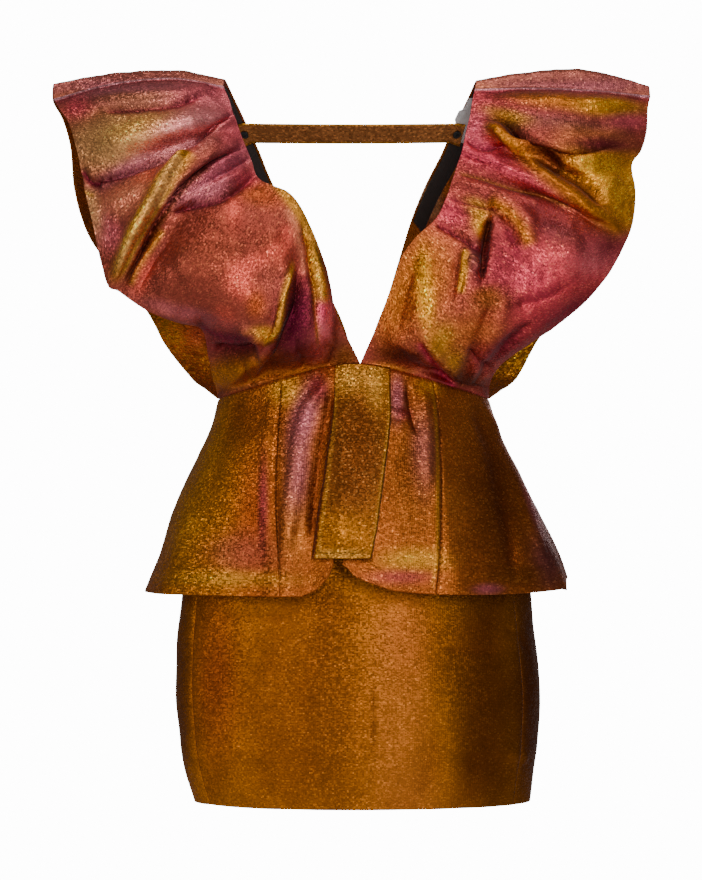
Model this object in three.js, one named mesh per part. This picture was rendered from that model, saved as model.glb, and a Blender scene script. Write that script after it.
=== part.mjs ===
// A peplum mini dress in shot lame: a deep V front and back with batwing sleeves pleated into the neck edge,
// a narrow strap across the open back, a flared peplum with a box-pleat flap, and a straight mini skirt.
// It is built hollow, as it hangs on a wearer of ordinary build.
// Millimetres, Z up, the wearer's front faces -Y and the wearer's right is at -X.
// The origin lies between the shoulders, at the height where the dress rests on the wearer.
import * as THREE from "three";

// Cloth
const WALL = 2; // lame on its backing
const TRIM = 1; // tape, strap and label
const SEAM = 0.3; // open line along every seam
const WAIST_SEAM = 0.45; // the waist seam's, which curves more between the points on it
const LAID = 0.3; // air under a piece that is laid on another

// Waist seam: an oval ring that dips from centre front to the sides
const WAIST_X = -1.5;
const WAIST_HALF = 134.5;
const WAIST_FRONT = 97;
const WAIST_BACK = 88;
const WAIST_FRONT_Z = -278;
const WAIST_SIDE_Z = -311;
const WAIST_BACK_Z = -296;
const WAIST_ROUNDING = 0.25; // how softly the dip turns at the middle; 0 would make it a sharp V
const V_POINT_X = 5; // both V necks end a little right of the middle
const WAIST_SHARES = [0, 0.29, 0.62, 1]; // where a panel's four lines of points meet the waist seam
const BLOUSE_RISE = 8; // the bodice comes down on the waist seam from this far above it
const BLOUSE_FULL = 5; // and this far outside it

// Peplum and skirt
const PEPLUM_DROP = 192; // from the waist seam to the hem at the side
const SKIRT_DROP = 401;
const FLAP_PROUD = 7; // how far the box pleat stands off the peplum
const FLAP_WALL = 1.6;
const FLAP_SKEW = 4; // its left wall leans out by this much

// Strap, snaps, label
const STRAP_TOP_Z = -30;
const STRAP_WIDTH = 18.5;
const STRAP_EASE = 0.3; // the strap's ends bow this much off the tape
const SNAP_RADIUS = 4.5;
const SNAP_HEIGHT = 1.6;
const SNAP_STAND = 0.65; // a flat disc on cloth that curves under it

// How finely the cloth is divided
const BODICE_COLUMNS = 18;
const ROWS_PER_RIB = 2;
const PEPLUM_ROWS = 9;
const SKIRT_ROWS = 12;

// A table is a list of rows under named columns.
function table(columns, rows) {
  return rows.map((row) => Object.fromEntries(columns.map((column, i) => [column, row[i]])));
}

// The ribs of each bodice panel, from the shoulder down. A rib runs from the neck edge over the fullest part
// to the sleeve hem, and troughs lie between the ribs that carry a pleat. The last rib is the waist seam.
const RIB = ["rib", "neck", "near", "far", "hem"];
const FRONT_LEFT = table(RIB, [
  ["shoulder seam", [-132, -10, 1], [-182, -14, 8], [-239, -14, 3], [-301, -2, -11]],
  ["shoulder roll", [-126, -20, -12], [-178, -42, -8], [-241, -40, -14], [-295, -10, -21]],
  ["first trough", [-123, -28, -22], [-175, -54, -21], [-234, -52, -29], [-285, -20, -36]],
  ["second pleat", [-119, -38, -33], [-166, -80, -40], [-225, -80, -56], [-276, -34, -62]],
  ["second trough", [-116, -42, -42], [-157, -70, -55], [-211, -76, -80], [-268, -50, -99]],
  ["third pleat", [-112, -50, -53], [-152, -88, -68], [-212, -96, -112], [-257, -70, -142]],
  ["gold ridge", [-108, -56, -63], [-146, -98, -81], [-204, -116, -136], [-243, -90, -197]],
  ["under ridge", [-102, -62, -77], [-139, -94, -100], [-192, -110, -161], [-230, -94, -207]],
  ["smooth panel", [-93, -76, -97], [-125, -116, -131], [-167, -134, -184], [-202, -106, -226]],
  ["panel middle", [-62, -98, -113], [-94, -132, -162], [-135, -142, -209], [-175, -98, -236]],
  ["bust", [-42, -112, -148], [-69, -142, -198], [-107, -140, -234], [-151, -80, -242]],
  ["blouse", [-28, -118, -187], [-55, -144, -232], [-100, -128, -261], [-146, -54, -265]],
  ["blouse roll", [-19, -113, -228], [-46, -131, -261], [-100, -104, -283], [-141, -28, -290]],
]);
const FRONT_RIGHT = table(RIB, [
  ["shoulder seam", [120, -10, -2], [174, -14, -2], [234, -14, -4], [295, -2, -8]],
  ["shoulder roll", [117, -20, -15], [173, -43, -17], [232, -42, -20], [292, -12, -21]],
  ["first trough", [115, -28, -27], [171, -56, -38], [232, -56, -48], [290, -22, -44]],
  ["second pleat", [112, -38, -40], [169, -80, -58], [228, -79, -70], [284, -34, -64]],
  ["second trough", [109, -42, -52], [172, -70, -77], [230, -76, -95], [274, -42, -80]],
  ["gold ridge", [106, -54, -66], [171, -96, -96], [227, -106, -122], [276, -62, -108]],
  ["under ridge", [101, -60, -81], [167, -94, -110], [223, -104, -140], [272, -74, -140]],
  ["third pleat", [95, -72, -99], [156, -112, -130], [214, -122, -168], [261, -86, -166]],
  ["fourth pleat", [90, -80, -114], [145, -120, -153], [198, -128, -193], [245, -94, -193]],
  ["bust top", [80, -92, -135], [132, -132, -180], [179, -134, -219], [222, -96, -219]],
  ["bust", [63, -104, -151], [111, -142, -205], [152, -132, -240], [195, -86, -241]],
  ["blouse", [47, -114, -171], [90, -142, -229], [131, -120, -261], [164, -68, -261]],
  ["blouse roll", [38, -117, -196], [68, -134, -251], [116, -102, -278], [142, -44, -277]],
  ["waist tuck", [24, -111, -235], [51, -120, -269], [99, -88, -293], [134, -20, -294]],
]);
const BACK_LEFT = table(RIB, [
  ["shoulder seam", [-132, -10, 1], [-182, -14, 8], [-239, -14, 3], [-301, -2, -11]],
  ["ridge", [-130, 2, 8], [-175, 6, 17], [-240, 6, 15], [-302, 6, 4]],
  ["behind ridge", [-122, 22, -8], [-179, 45, 2], [-246, 44, -2], [-303, 18, -12]],
  ["first pleat", [-115, 34, -22], [-174, 71, -22], [-239, 68, -29], [-294, 28, -30]],
  ["second pleat", [-107, 46, -39], [-162, 86, -54], [-227, 80, -68], [-287, 40, -57]],
  ["third pleat", [-97, 60, -60], [-146, 100, -90], [-214, 96, -112], [-284, 54, -99]],
  ["back panel", [-85, 76, -89], [-126, 114, -128], [-194, 108, -151], [-270, 66, -145]],
  ["panel middle", [-66, 88, -123], [-102, 122, -169], [-166, 116, -191], [-241, 78, -185]],
  ["blouse", [-48, 94, -158], [-77, 124, -206], [-135, 114, -227], [-211, 82, -222]],
  ["blouse roll", [-28, 96, -200], [-50, 114, -243], [-101, 98, -262], [-191, 66, -258]],
  ["waist tuck", [-11, 92, -237], [-42, 104, -264], [-99, 86, -280], [-165, 40, -289]],
]);
const BACK_RIGHT = table(RIB, [
  ["shoulder seam", [120, -10, -2], [174, -14, -2], [234, -14, -4], [295, -2, -8]],
  ["ridge", [121, 2, 7], [175, 6, 16], [233, 6, 18], [294, 6, 2]],
  ["behind ridge", [114, 22, -8], [173, 45, 0], [238, 44, 0], [292, 18, -14]],
  ["first pleat", [107, 34, -22], [168, 71, -22], [235, 68, -29], [288, 28, -36]],
  ["second pleat", [98, 46, -39], [158, 86, -52], [223, 80, -66], [282, 40, -61]],
  ["third pleat", [88, 60, -62], [145, 100, -88], [210, 96, -110], [275, 54, -99]],
  ["back panel", [72, 76, -93], [120, 114, -128], [190, 108, -151], [261, 66, -141]],
  ["panel middle", [58, 86, -127], [98, 122, -169], [164, 116, -191], [238, 78, -181]],
  ["blouse", [46, 92, -166], [75, 124, -206], [135, 114, -227], [211, 82, -217]],
  ["blouse roll", [34, 94, -205], [55, 114, -241], [106, 98, -262], [186, 66, -250]],
  ["waist tuck", [20, 90, -242], [44, 104, -264], [99, 86, -280], [163, 40, -289]],
]);

// The largest loose folds, as seen from the front: a line through three places, how wide it is, and how far
// the cloth rises (or, below zero, sinks) along it.
const FOLD = ["fold", "from", "through", "to", "width", "rise"];
const LEFT_FOLDS = table(FOLD, [
  ["valley beside the V", [-58, -180], [-72, -222], [-99, -286], 8, -5],
  ["ridge beside the V", [-68, -178], [-74, -240], [-95, -256], 7, 3],
  ["under-bust hollow", [-140, -258], [-112, -266], [-92, -284], 12, -4],
]);
const RIGHT_FOLDS = table(FOLD, [
  ["pinch", [130, -136], [128, -165], [124, -198], 7, -6],
  ["curved ridge", [141, -118], [166, -136], [172, -164], 7, 4],
  ["ridge by the pinch", [113, -156], [112, -180], [109, -200], 6, 4],
  ["lower fold", [68, -252], [84, -276], [102, -292], 7, 4],
]);

// The peplum by sections. The drop is measured from the waist seam at the side; left and right are its
// half-widths, front and back its half-depths; then the seams' places across the front, and the two centre
// edges that part behind the flap.
const SECTION = ["drop", "left", "right", "front", "back", "seamLeft", "seamRight", "edgeLeft", "edgeRight"];
const PEPLUM = table(SECTION, [
  [0, 134.5, 134.5, 97, 88, -72, 77, 4.8, 5.2],
  [26, 141, 142, 105, 97, -74, 81, 1, 3],
  [52, 153, 151, 114, 107, -76, 83, -3, 0],
  [88, 170, 169, 125, 118, -77, 84, -9, -4],
  [117, 182, 183, 132, 126, -77, 83, -13, -7],
  [158, 194, 202, 141, 134, -74, 81, -18, -11],
  [192, 208, 213, 146, 140, -70, 78, -21, -12],
]);
// Soft flares that grow towards the hem: where they run round the body (degrees from centre front, the
// wearer's left positive), how far they spread, and how far they stand out at the hem.
const FLARES = table(["flare", "angle", "spread", "rise"], [
  ["beside the flap", -20, 5, 7],
  ["valley by the flap", -11, 4, -5],
  ["left hip", -62, 9, 5],
  ["right hip", 69, 8, 7],
  ["right of the flap", 27, 6, 4],
  ["right valley", 46, 8, -4],
  ["left back", -118, 10, 6],
  ["left back valley", -140, 9, -5],
  ["right back valley", 138, 9, -5],
  ["right back", 116, 10, 6],
  ["centre back", 178, 9, 4],
]);
// How far the hem lifts above its level, across the front: the fronts round up behind the flap, and the
// right-hand tip turns up a little.
const HEM_LIFT = table(["x", "lift"], [
  [-52, 0],
  [-38, 7],
  [-26, 19],
  [-20, 31],
  [-12, 31],
  [0, 20],
  [9, 15],
  [36, 6],
  [80, 2],
  [150, 1],
  [196, 4],
  [212, 14],
]);

// The flap's two edges, across the front, down its length.
const FLAP = table(["down", "left", "right"], [
  [0, -18.5, 32.5],
  [0.28, -20.5, 32.5],
  [0.56, -27.5, 26.5],
  [0.86, -35, 19.5],
  [1, -38, 14],
]);
const FLAP_END_Z = -466; // its lower edge, just above the peplum's rounded corners

// The skirt by sections, measured as the peplum's are.
const SKIRT = table(["drop", "left", "right", "front", "back"], [
  [0, 131.4, 131.4, 93.9, 84.9],
  [26, 136, 137, 100, 92],
  [60, 150, 148, 105, 101],
  [100, 160, 163, 109, 111],
  [150, 167, 171, 112, 118],
  [196, 171.5, 176, 115, 122],
  [241, 176, 181, 117, 123],
  [295, 177, 186, 117, 121],
  [348, 172.5, 184, 114, 117],
  [375, 166.5, 179.5, 111, 114],
  [401, 157.5, 176, 108, 111],
]);
const SKIRT_SEAM_ANGLE = 64; // the side seams lie a little to the front

const LAME = { color: "#96551c", roughness: 0.42, metalness: 0.7 };
const BLACK = { color: "#0d0c0c", roughness: 0.8, metalness: 0 };
const STRAP_LAME = { color: "#8a5a22", roughness: 0.45, metalness: 0.7 };
const SNAP_METAL = { color: "#101012", roughness: 0.35, metalness: 0.6 };
const LABEL_WHITE = { color: "#dfe1e2", roughness: 0.7, metalness: 0 };

const radians = THREE.MathUtils.degToRad;
const lerp = THREE.MathUtils.lerp;

// A smooth curve through a list of numbers: place 0 is the first one, place 1 the second, and so on.
function curve(values, place) {
  const last = values.length - 1;
  const i = Math.min(Math.floor(place), last - 1);
  const t = place - i;
  const b = values[i];
  const c = values[i + 1];
  const a = i > 0 ? values[i - 1] : 2 * b - c;
  const d = i + 1 < last ? values[i + 2] : 2 * c - b;
  const bend = (2 * a - 5 * b + 4 * c - d) * t * t;
  const twist = (3 * b - a - 3 * c + d) * t * t * t;
  return 0.5 * (2 * b + (c - a) * t + bend + twist);
}

// The same through a list of [x, y, z] places.
function curve3(points, place) {
  return [0, 1, 2].map((axis) => curve(points.map((p) => p[axis]), place));
}

// One column of a table, looked up at a value of another column.
function lookUp(rows, by, value, column) {
  let i = 0;
  while (i < rows.length - 2 && rows[i + 1][by] < value) i += 1;
  const from = rows[i][by];
  const step = rows[i + 1][by] - from;
  const t = THREE.MathUtils.clamp((value - from) / step, 0, 1);
  return curve(rows.map((row) => row[column]), i + t);
}

// Angles run round the body from centre front; 90 degrees is the wearer's left side.
function ring(angle, left, right, front, back) {
  const across = Math.sin(angle) * (Math.sin(angle) < 0 ? left : right);
  const deep = -Math.cos(angle) * (Math.cos(angle) > 0 ? front : back);
  return [WAIST_X + across, deep];
}

function waistZ(angle) {
  const middle = Math.cos(angle) > 0 ? WAIST_FRONT_Z : WAIST_BACK_Z;
  const soft = (side) => Math.hypot(side, WAIST_ROUNDING) - WAIST_ROUNDING;
  return lerp(middle, WAIST_SIDE_Z, soft(Math.sin(angle)) / soft(1));
}

function waistPoint(angle) {
  const [x, y] = ring(angle, WAIST_HALF, WAIST_HALF, WAIST_FRONT, WAIST_BACK);
  return [x, y, waistZ(angle)];
}

// The level outward direction of the waist ring, shared by every piece sewn into the seam.
function waistOut(x, y) {
  const deep = y < 0 ? WAIST_FRONT : WAIST_BACK;
  return new THREE.Vector3((x - WAIST_X) / WAIST_HALF ** 2, y / deep ** 2, 0).normalize();
}

// How much of a fold's rise reaches a place seen from the front.
function foldRise(folds, x, z) {
  let rise = 0;
  for (const fold of folds) {
    const line = [fold.from, fold.through, fold.to];
    let nearest = Infinity;
    let where = 0;
    for (let k = 0; k <= 24; k += 1) {
      const place = k / 12;
      const dx = x - curve(line.map((p) => p[0]), place);
      const dz = z - curve(line.map((p) => p[1]), place);
      const gap = Math.hypot(dx, dz);
      if (gap < nearest) {
        nearest = gap;
        where = k / 24;
      }
    }
    const fade = 0.35 + 0.65 * Math.sin(Math.PI * where);
    rise += fold.rise * fade * Math.exp(-((nearest / fold.width) ** 2));
  }
  return rise;
}

// A piece of cloth is a grid of points with an outward direction at each. Rows run down, columns across.
function makeGrid(rows, columns, at, facing) {
  const points = [];
  for (let i = 0; i <= rows; i += 1) {
    points.push([]);
    for (let j = 0; j <= columns; j += 1) {
      points[i].push(new THREE.Vector3(...at(i / rows, j / columns)));
    }
  }
  const grid = { points, rows, columns, facing };
  grid.normals = outward(grid);
  return grid;
}

function outward({ points, rows, columns, facing }) {
  const normals = points.map((line, i) =>
    line.map((_, j) => {
      const down = points[Math.min(i + 1, rows)][j].clone().sub(points[Math.max(i - 1, 0)][j]);
      const side = points[i][Math.min(j + 1, columns)].clone().sub(points[i][Math.max(j - 1, 0)]);
      return down.cross(side).normalize();
    }),
  );
  const middle = normals[rows >> 1][columns >> 1];
  if (middle.dot(facing) < 0) normals.flat().forEach((n) => n.negate());
  return normals;
}

// An edge as [row, column] places, with the place just inside it.
function edgePlaces(grid, edge) {
  const { rows, columns } = grid;
  const across = [...Array(columns + 1).keys()];
  const down = [...Array(rows + 1).keys()];
  if (edge === "top") return across.map((j) => [0, j, 1, j]);
  if (edge === "bottom") return across.map((j) => [rows, j, rows - 1, j]);
  if (edge === "first") return down.map((i) => [i, 0, i, 1]);
  return down.map((i) => [i, columns, i, columns - 1]);
}

// Draws an edge back from its seam line by half the seam's width.
function drawBack(grid, edge, by = SEAM / 2) {
  for (const [i, j, k, l] of edgePlaces(grid, edge)) {
    const inward = grid.points[k][l].clone().sub(grid.points[i][j]).setLength(by);
    grid.points[i][j].add(inward);
  }
}

// Two pieces that meet along a seam share the outward direction there.
function sew(a, edgeA, b, edgeB) {
  const other = edgePlaces(b, edgeB);
  edgePlaces(a, edgeA).forEach(([i, j], n) => {
    const [k, l] = other[n];
    const shared = a.normals[i][j].clone().add(b.normals[k][l]).normalize();
    a.normals[i][j].copy(shared);
    b.normals[k][l].copy(shared);
  });
  drawBack(a, edgeA);
  drawBack(b, edgeB);
}

// Sews an edge into the waist seam.
function sewToWaist(grid, edge) {
  for (const [i, j] of edgePlaces(grid, edge)) {
    const { x, y } = grid.points[i][j];
    grid.normals[i][j].copy(waistOut(x, y));
  }
  drawBack(grid, edge, WAIST_SEAM / 2);
}

// The closed wall of a grid: two faces, one on each side of its points, and the rim round them.
function wallOf(grid, thick = WALL, lift = 0) {
  const { points, normals, rows, columns } = grid;
  const wide = columns + 1;
  const count = (rows + 1) * wide;
  const positions = [];
  for (const side of [0.5, -0.5]) {
    points.forEach((line, i) =>
      line.forEach((p, j) => {
        positions.push(...p.clone().addScaledVector(normals[i][j], lift + side * thick).toArray());
      }),
    );
  }
  const faces = [];
  const quad = (a, b, c, d) => faces.push(a, b, c, a, c, d);
  for (let i = 0; i < rows; i += 1) {
    for (let j = 0; j < columns; j += 1) {
      const a = i * wide + j;
      const b = a + wide;
      quad(a, b, b + 1, a + 1);
      quad(count + a, count + a + 1, count + b + 1, count + b);
    }
  }
  for (let j = 0; j < columns; j += 1) {
    const end = rows * wide + j;
    quad(j, j + 1, count + j + 1, count + j);
    quad(end + 1, end, count + end, count + end + 1);
  }
  for (let i = 0; i < rows; i += 1) {
    const a = i * wide;
    const end = a + columns;
    quad(a + wide, a, count + a, count + a + wide);
    quad(end, end + wide, count + end + wide, count + end);
  }
  const down = points[1][0].clone().sub(points[0][0]);
  const across = points[0][1].clone().sub(points[0][0]);
  if (down.cross(across).dot(normals[0][0]) < 0) faces.reverse();
  const geometry = new THREE.BufferGeometry();
  geometry.setAttribute("position", new THREE.Float32BufferAttribute(positions, 3));
  geometry.setIndex(faces);
  geometry.computeVertexNormals();
  return geometry;
}

const dress = new THREE.Group();
dress.name = "peplum_dress";

function add(name, geometry, look) {
  const mesh = new THREE.Mesh(geometry, new THREE.MeshStandardMaterial(look));
  mesh.name = name;
  dress.add(mesh);
}

// Bodice: each panel is a surface over its ribs, closed at the waist seam between two angles.
function bodicePanel(ribs, folds, waistFrom, waistTo, facing) {
  const lines = ribs.map((rib) => [rib.neck, rib.near, rib.far, rib.hem]);
  const waist = WAIST_SHARES.map((t) => waistPoint(lerp(waistFrom, waistTo, t)));
  const last = lines.at(-1);
  const above = waist.map(([x, y, z], i) => {
    const full = waistOut(x, y).multiplyScalar(BLOUSE_FULL);
    if (i === 1 || i === 2) return [x + full.x, y + full.y, z + BLOUSE_RISE];
    const share = BLOUSE_RISE / (last[i][2] - z);
    return [lerp(x, last[i][0], share), lerp(y, last[i][1], share), z + BLOUSE_RISE];
  });
  lines.push(above, waist);
  const rows = (lines.length - 1) * ROWS_PER_RIB;
  const at = (v, u) => {
    const place = v * (lines.length - 1);
    if (v === 1) return waistPoint(lerp(waistFrom, waistTo, curve(WAIST_SHARES, u * 3)));
    return curve3(lines.map((line) => curve3(line, u * 3)), place);
  };
  const grid = makeGrid(rows, BODICE_COLUMNS, at, facing);
  grid.points.forEach((line, i) => {
    const settle = Math.min(1, (rows - i) / 3);
    line.forEach((p, j) => p.addScaledVector(grid.normals[i][j], settle * foldRise(folds, p.x, p.z)));
  });
  grid.normals = outward(grid);
  return grid;
}

const FRONT = new THREE.Vector3(0, -1, 0);
const BACK = new THREE.Vector3(0, 1, 0);
const vAngle = Math.asin((V_POINT_X - WAIST_X) / WAIST_HALF);
const parted = (SEAM / WAIST_HALF) * 0.6;
const sideSeam = Math.PI / 2 - 0.008;
const frontLeft = bodicePanel(FRONT_LEFT, LEFT_FOLDS, vAngle - parted, -sideSeam, FRONT);
const frontRight = bodicePanel(FRONT_RIGHT, RIGHT_FOLDS, vAngle + parted, sideSeam, FRONT);
const backMiddle = Math.PI - vAngle;
const turn = 2 * Math.PI;
const backLeft = bodicePanel(BACK_LEFT, [], backMiddle + parted, turn - Math.PI + sideSeam, BACK);
const backRight = bodicePanel(BACK_RIGHT, [], backMiddle - parted, Math.PI - sideSeam, BACK);
sew(frontLeft, "top", backLeft, "top");
sew(frontRight, "top", backRight, "top");
[frontLeft, frontRight, backLeft, backRight].forEach((grid) => sewToWaist(grid, "bottom"));
add("bodice_front_left", wallOf(frontLeft), LAME);
add("bodice_front_right", wallOf(frontRight), LAME);
add("bodice_back_left", wallOf(backLeft), LAME);
add("bodice_back_right", wallOf(backRight), LAME);

// Peplum
function hemZ(angle) {
  const [x] = ring(angle, 208, 213, 146, 140);
  const lift = Math.cos(angle) > 0 ? lookUp(HEM_LIFT, "x", x, "lift") : 1;
  return WAIST_SIDE_Z - PEPLUM_DROP + lift;
}

function peplumPoint(angle, down) {
  const drop = down * PEPLUM_DROP;
  const size = (column) => lookUp(PEPLUM, "drop", drop, column);
  let flare = 0;
  for (const { angle: middle, spread, rise } of FLARES) {
    const off = Math.abs(THREE.MathUtils.radToDeg(angle) - middle) % 360;
    flare += rise * Math.exp(-((Math.min(off, 360 - off) / spread) ** 2));
  }
  const stand = flare * down ** 1.5;
  const [x, y] = ring(
    angle,
    size("left") + stand,
    size("right") + stand,
    size("front") + stand,
    size("back") + stand,
  );
  return [x, y, lerp(waistZ(angle), hemZ(angle), down)];
}

// The angle at which a section of the peplum lies at a given place across the front.
function angleAt(x, down) {
  const side = x < WAIST_X ? "left" : "right";
  const half = lookUp(PEPLUM, "drop", down * PEPLUM_DROP, side);
  return Math.asin((x - WAIST_X) / half);
}

function seamAngle(column) {
  return (down) => angleAt(lookUp(PEPLUM, "drop", down * PEPLUM_DROP, column), down);
}

function peplumPanel(from, to, columns, facing) {
  const at = (v, u) => peplumPoint(lerp(from(v), to(v), u), v);
  return makeGrid(PEPLUM_ROWS, columns, at, facing);
}

const left90 = () => -Math.PI / 2;
const right90 = () => Math.PI / 2;
const behindLeft = () => -Math.PI;
const behindRight = () => Math.PI;
const OUT_LEFT = new THREE.Vector3(-1, 0, 0);
const OUT_RIGHT = new THREE.Vector3(1, 0, 0);
const pepFrontLeft = peplumPanel(seamAngle("edgeLeft"), seamAngle("seamLeft"), 8, FRONT);
const pepSideLeft = peplumPanel(seamAngle("seamLeft"), left90, 9, OUT_LEFT);
const pepBackLeft = peplumPanel(left90, behindLeft, 13, BACK);
const pepFrontRight = peplumPanel(seamAngle("edgeRight"), seamAngle("seamRight"), 9, FRONT);
const pepSideRight = peplumPanel(seamAngle("seamRight"), right90, 9, OUT_RIGHT);
const pepBackRight = peplumPanel(right90, behindRight, 13, BACK);
sew(pepFrontLeft, "last", pepSideLeft, "first");
sew(pepSideLeft, "last", pepBackLeft, "first");
sew(pepFrontRight, "last", pepSideRight, "first");
sew(pepSideRight, "last", pepBackRight, "first");
sew(pepBackLeft, "last", pepBackRight, "last");
const peplum = {
  peplum_front_left: pepFrontLeft,
  peplum_side_left: pepSideLeft,
  peplum_back_left: pepBackLeft,
  peplum_front_right: pepFrontRight,
  peplum_side_right: pepSideRight,
  peplum_back_right: pepBackRight,
};
for (const [name, grid] of Object.entries(peplum)) {
  sewToWaist(grid, "top");
  add(name, wallOf(grid), LAME);
}

// Flap: a box pleat that stands off the peplum on two short walls.
function flapPoint(v, u) {
  const left = lookUp(FLAP, "down", v, "left");
  const right = lookUp(FLAP, "down", v, "right");
  const wall = [left - FLAP_SKEW * v, left - FLAP_SKEW * v * 0.45, left];
  const across = [...wall, lerp(left, right, 0.25), lerp(left, right, 0.5), lerp(left, right, 0.75)];
  across.push(right, right + 0.6, right + 1.2);
  const proud = FLAP_PROUD * Math.min(1, 0.12 + 2.2 * v);
  const laid = (WALL + FLAP_WALL) / 2 + LAID;
  const lifts = [laid, lerp(laid, laid + proud, 0.6), ...Array(5).fill(laid + proud)];
  lifts.push(lerp(laid, laid + proud, 0.6), laid);
  const n = Math.round(u * 8);
  const angle = angleAt(across[n], v * 0.85);
  const top = waistZ(angle);
  const z = lerp(top, FLAP_END_Z, v);
  const [x, y] = peplumPoint(angle, (top - z) / (top - hemZ(angle)));
  const off = new THREE.Vector3(x - WAIST_X, y * 2, 0).setLength(lifts[n]);
  return [x + off.x, y + off.y, z];
}

const flap = makeGrid(9, 8, flapPoint, FRONT);
drawBack(flap, "top");
add("peplum_flap", wallOf(flap, FLAP_WALL), LAME);

// Skirt
function skirtPoint(angle, down) {
  const size = (column) => lookUp(SKIRT, "drop", down * SKIRT_DROP, column);
  const [x, y] = ring(angle, size("left"), size("right"), size("front"), size("back"));
  return [x, y, lerp(waistZ(angle), WAIST_SIDE_Z - SKIRT_DROP, down)];
}

const seam = radians(SKIRT_SEAM_ANGLE);

function skirtPanel(from, to, columns, facing) {
  return makeGrid(SKIRT_ROWS, columns, (v, u) => skirtPoint(lerp(from, to, u), v), facing);
}

const skirtFront = skirtPanel(-seam, seam, 16, FRONT);
const skirtBackRight = skirtPanel(seam, Math.PI, 13, BACK);
const skirtBackLeft = skirtPanel(Math.PI, turn - seam, 13, BACK);
sew(skirtFront, "last", skirtBackRight, "first");
sew(skirtBackRight, "last", skirtBackLeft, "first");
sew(skirtBackLeft, "last", skirtFront, "first");
const skirt = {
  skirt_front: skirtFront,
  skirt_back_right: skirtBackRight,
  skirt_back_left: skirtBackLeft,
};
for (const [name, grid] of Object.entries(skirt)) {
  sewToWaist(grid, "top");
  add(name, wallOf(grid), LAME);
}

// A place on a panel, between its own points, with the outward direction there.
function onPanel(grid, row, column) {
  const i = Math.min(Math.floor(row), grid.rows - 1);
  const j = THREE.MathUtils.clamp(Math.floor(column), 0, grid.columns - 1);
  const mix = (field) => {
    const top = grid[field][i][j].clone().lerp(grid[field][i][j + 1], column - j);
    const low = grid[field][i + 1][j].clone().lerp(grid[field][i + 1][j + 1], column - j);
    return top.lerp(low, row - i);
  };
  return { point: mix("points"), normal: mix("normals").normalize() };
}

// A strip laid on a panel's inner face between four places of its grid.
function laidInside(panel, rowFrom, rowTo, columnFrom, columnTo, rows, columns, depth) {
  const points = [];
  const normals = [];
  for (let i = 0; i <= rows; i += 1) {
    points.push([]);
    normals.push([]);
    for (let j = 0; j <= columns; j += 1) {
      const row = lerp(rowFrom, rowTo, i / rows);
      const column = lerp(columnFrom, columnTo, j / columns);
      const { point, normal } = onPanel(panel, row, column);
      points[i].push(point.addScaledVector(normal, -depth));
      normals[i].push(normal);
    }
  }
  return { points, normals, rows, columns };
}

// Tape inside each back neck edge, and the label over it.
const tapeDepth = WALL / 2 + LAID + TRIM / 2;
const overTape = tapeDepth + TRIM + LAID;
add("neck_tape_left", wallOf(laidInside(backLeft, 3, 12, 0.2, 1.3, 9, 1, tapeDepth), TRIM), BLACK);
add("neck_tape_right", wallOf(laidInside(backRight, 2, 14, 0.2, 1.7, 12, 2, tapeDepth), TRIM), BLACK);
add("label", wallOf(laidInside(backRight, 2.4, 6.1, -0.5, 1.6, 4, 2, overTape), TRIM), LABEL_WHITE);

// Strap: its ends lie on the tape and it runs straight between them.
function heightRow(grid, z) {
  let row = 1;
  while (onPanel(grid, row, 0).point.z > z) row += 0.05;
  return row;
}

function strapEnd(panel, column, z) {
  const row = heightRow(panel, z);
  const { point, normal } = onPanel(panel, row, column);
  return { point: point.addScaledVector(normal, -overTape - STRAP_EASE), normal };
}

const strapColumns = [1.5, 0.8, 0];
const strap = { points: [], normals: [], rows: 7, columns: 1 };
const strapLines = [
  ...strapColumns.map((column) => [backLeft, column]),
  null,
  null,
  ...[...strapColumns].reverse().map((column) => [backRight, column]),
];
const strapHeights = [STRAP_TOP_Z, STRAP_TOP_Z - STRAP_WIDTH];
strapLines.forEach((line, i) => {
  const pair = strapHeights.map((z) => {
    if (line) return strapEnd(...line, z);
    const a = strapEnd(backLeft, 0, z);
    const b = strapEnd(backRight, 0, z);
    const point = a.point.clone().lerp(b.point, (i - 2) / 3);
    return { point, normal: BACK.clone() };
  });
  strap.points.push(pair.map((p) => p.point));
  strap.normals.push(pair.map((p) => p.normal));
});
add("back_strap", wallOf(strap, TRIM), STRAP_LAME);

// Snaps: flat discs on the strap's ends.
function snap(panel, name) {
  const middle = strapEnd(panel, 0.5, STRAP_TOP_Z - STRAP_WIDTH / 2);
  const disc = new THREE.CylinderGeometry(SNAP_RADIUS, SNAP_RADIUS + 0.4, SNAP_HEIGHT, 16, 1);
  const inward = middle.normal.clone().negate();
  disc.applyQuaternion(new THREE.Quaternion().setFromUnitVectors(new THREE.Vector3(0, 1, 0), inward));
  const at = middle.point.addScaledVector(inward, TRIM / 2 + SNAP_STAND + SNAP_HEIGHT / 2);
  disc.translate(at.x, at.y, at.z);
  add(name, disc, SNAP_METAL);
}
snap(backLeft, "snap_left");
snap(backRight, "snap_right");

export default dress;
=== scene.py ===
# %% [markdown]
# # A peplum mini dress in shot lame
# The dress is rebuilt here piece by piece in cloth: a deep V bodice whose batwing sleeves are pleated into the
# neck edge, a strap across the open back, a flared peplum with a box-pleat flap, and a straight mini skirt.
# It stands filled out on a wearer who isn't there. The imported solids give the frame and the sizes, and each
# piece of cloth below lies on its solid's form and adds the folds, the edges and the weave.

import math

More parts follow.
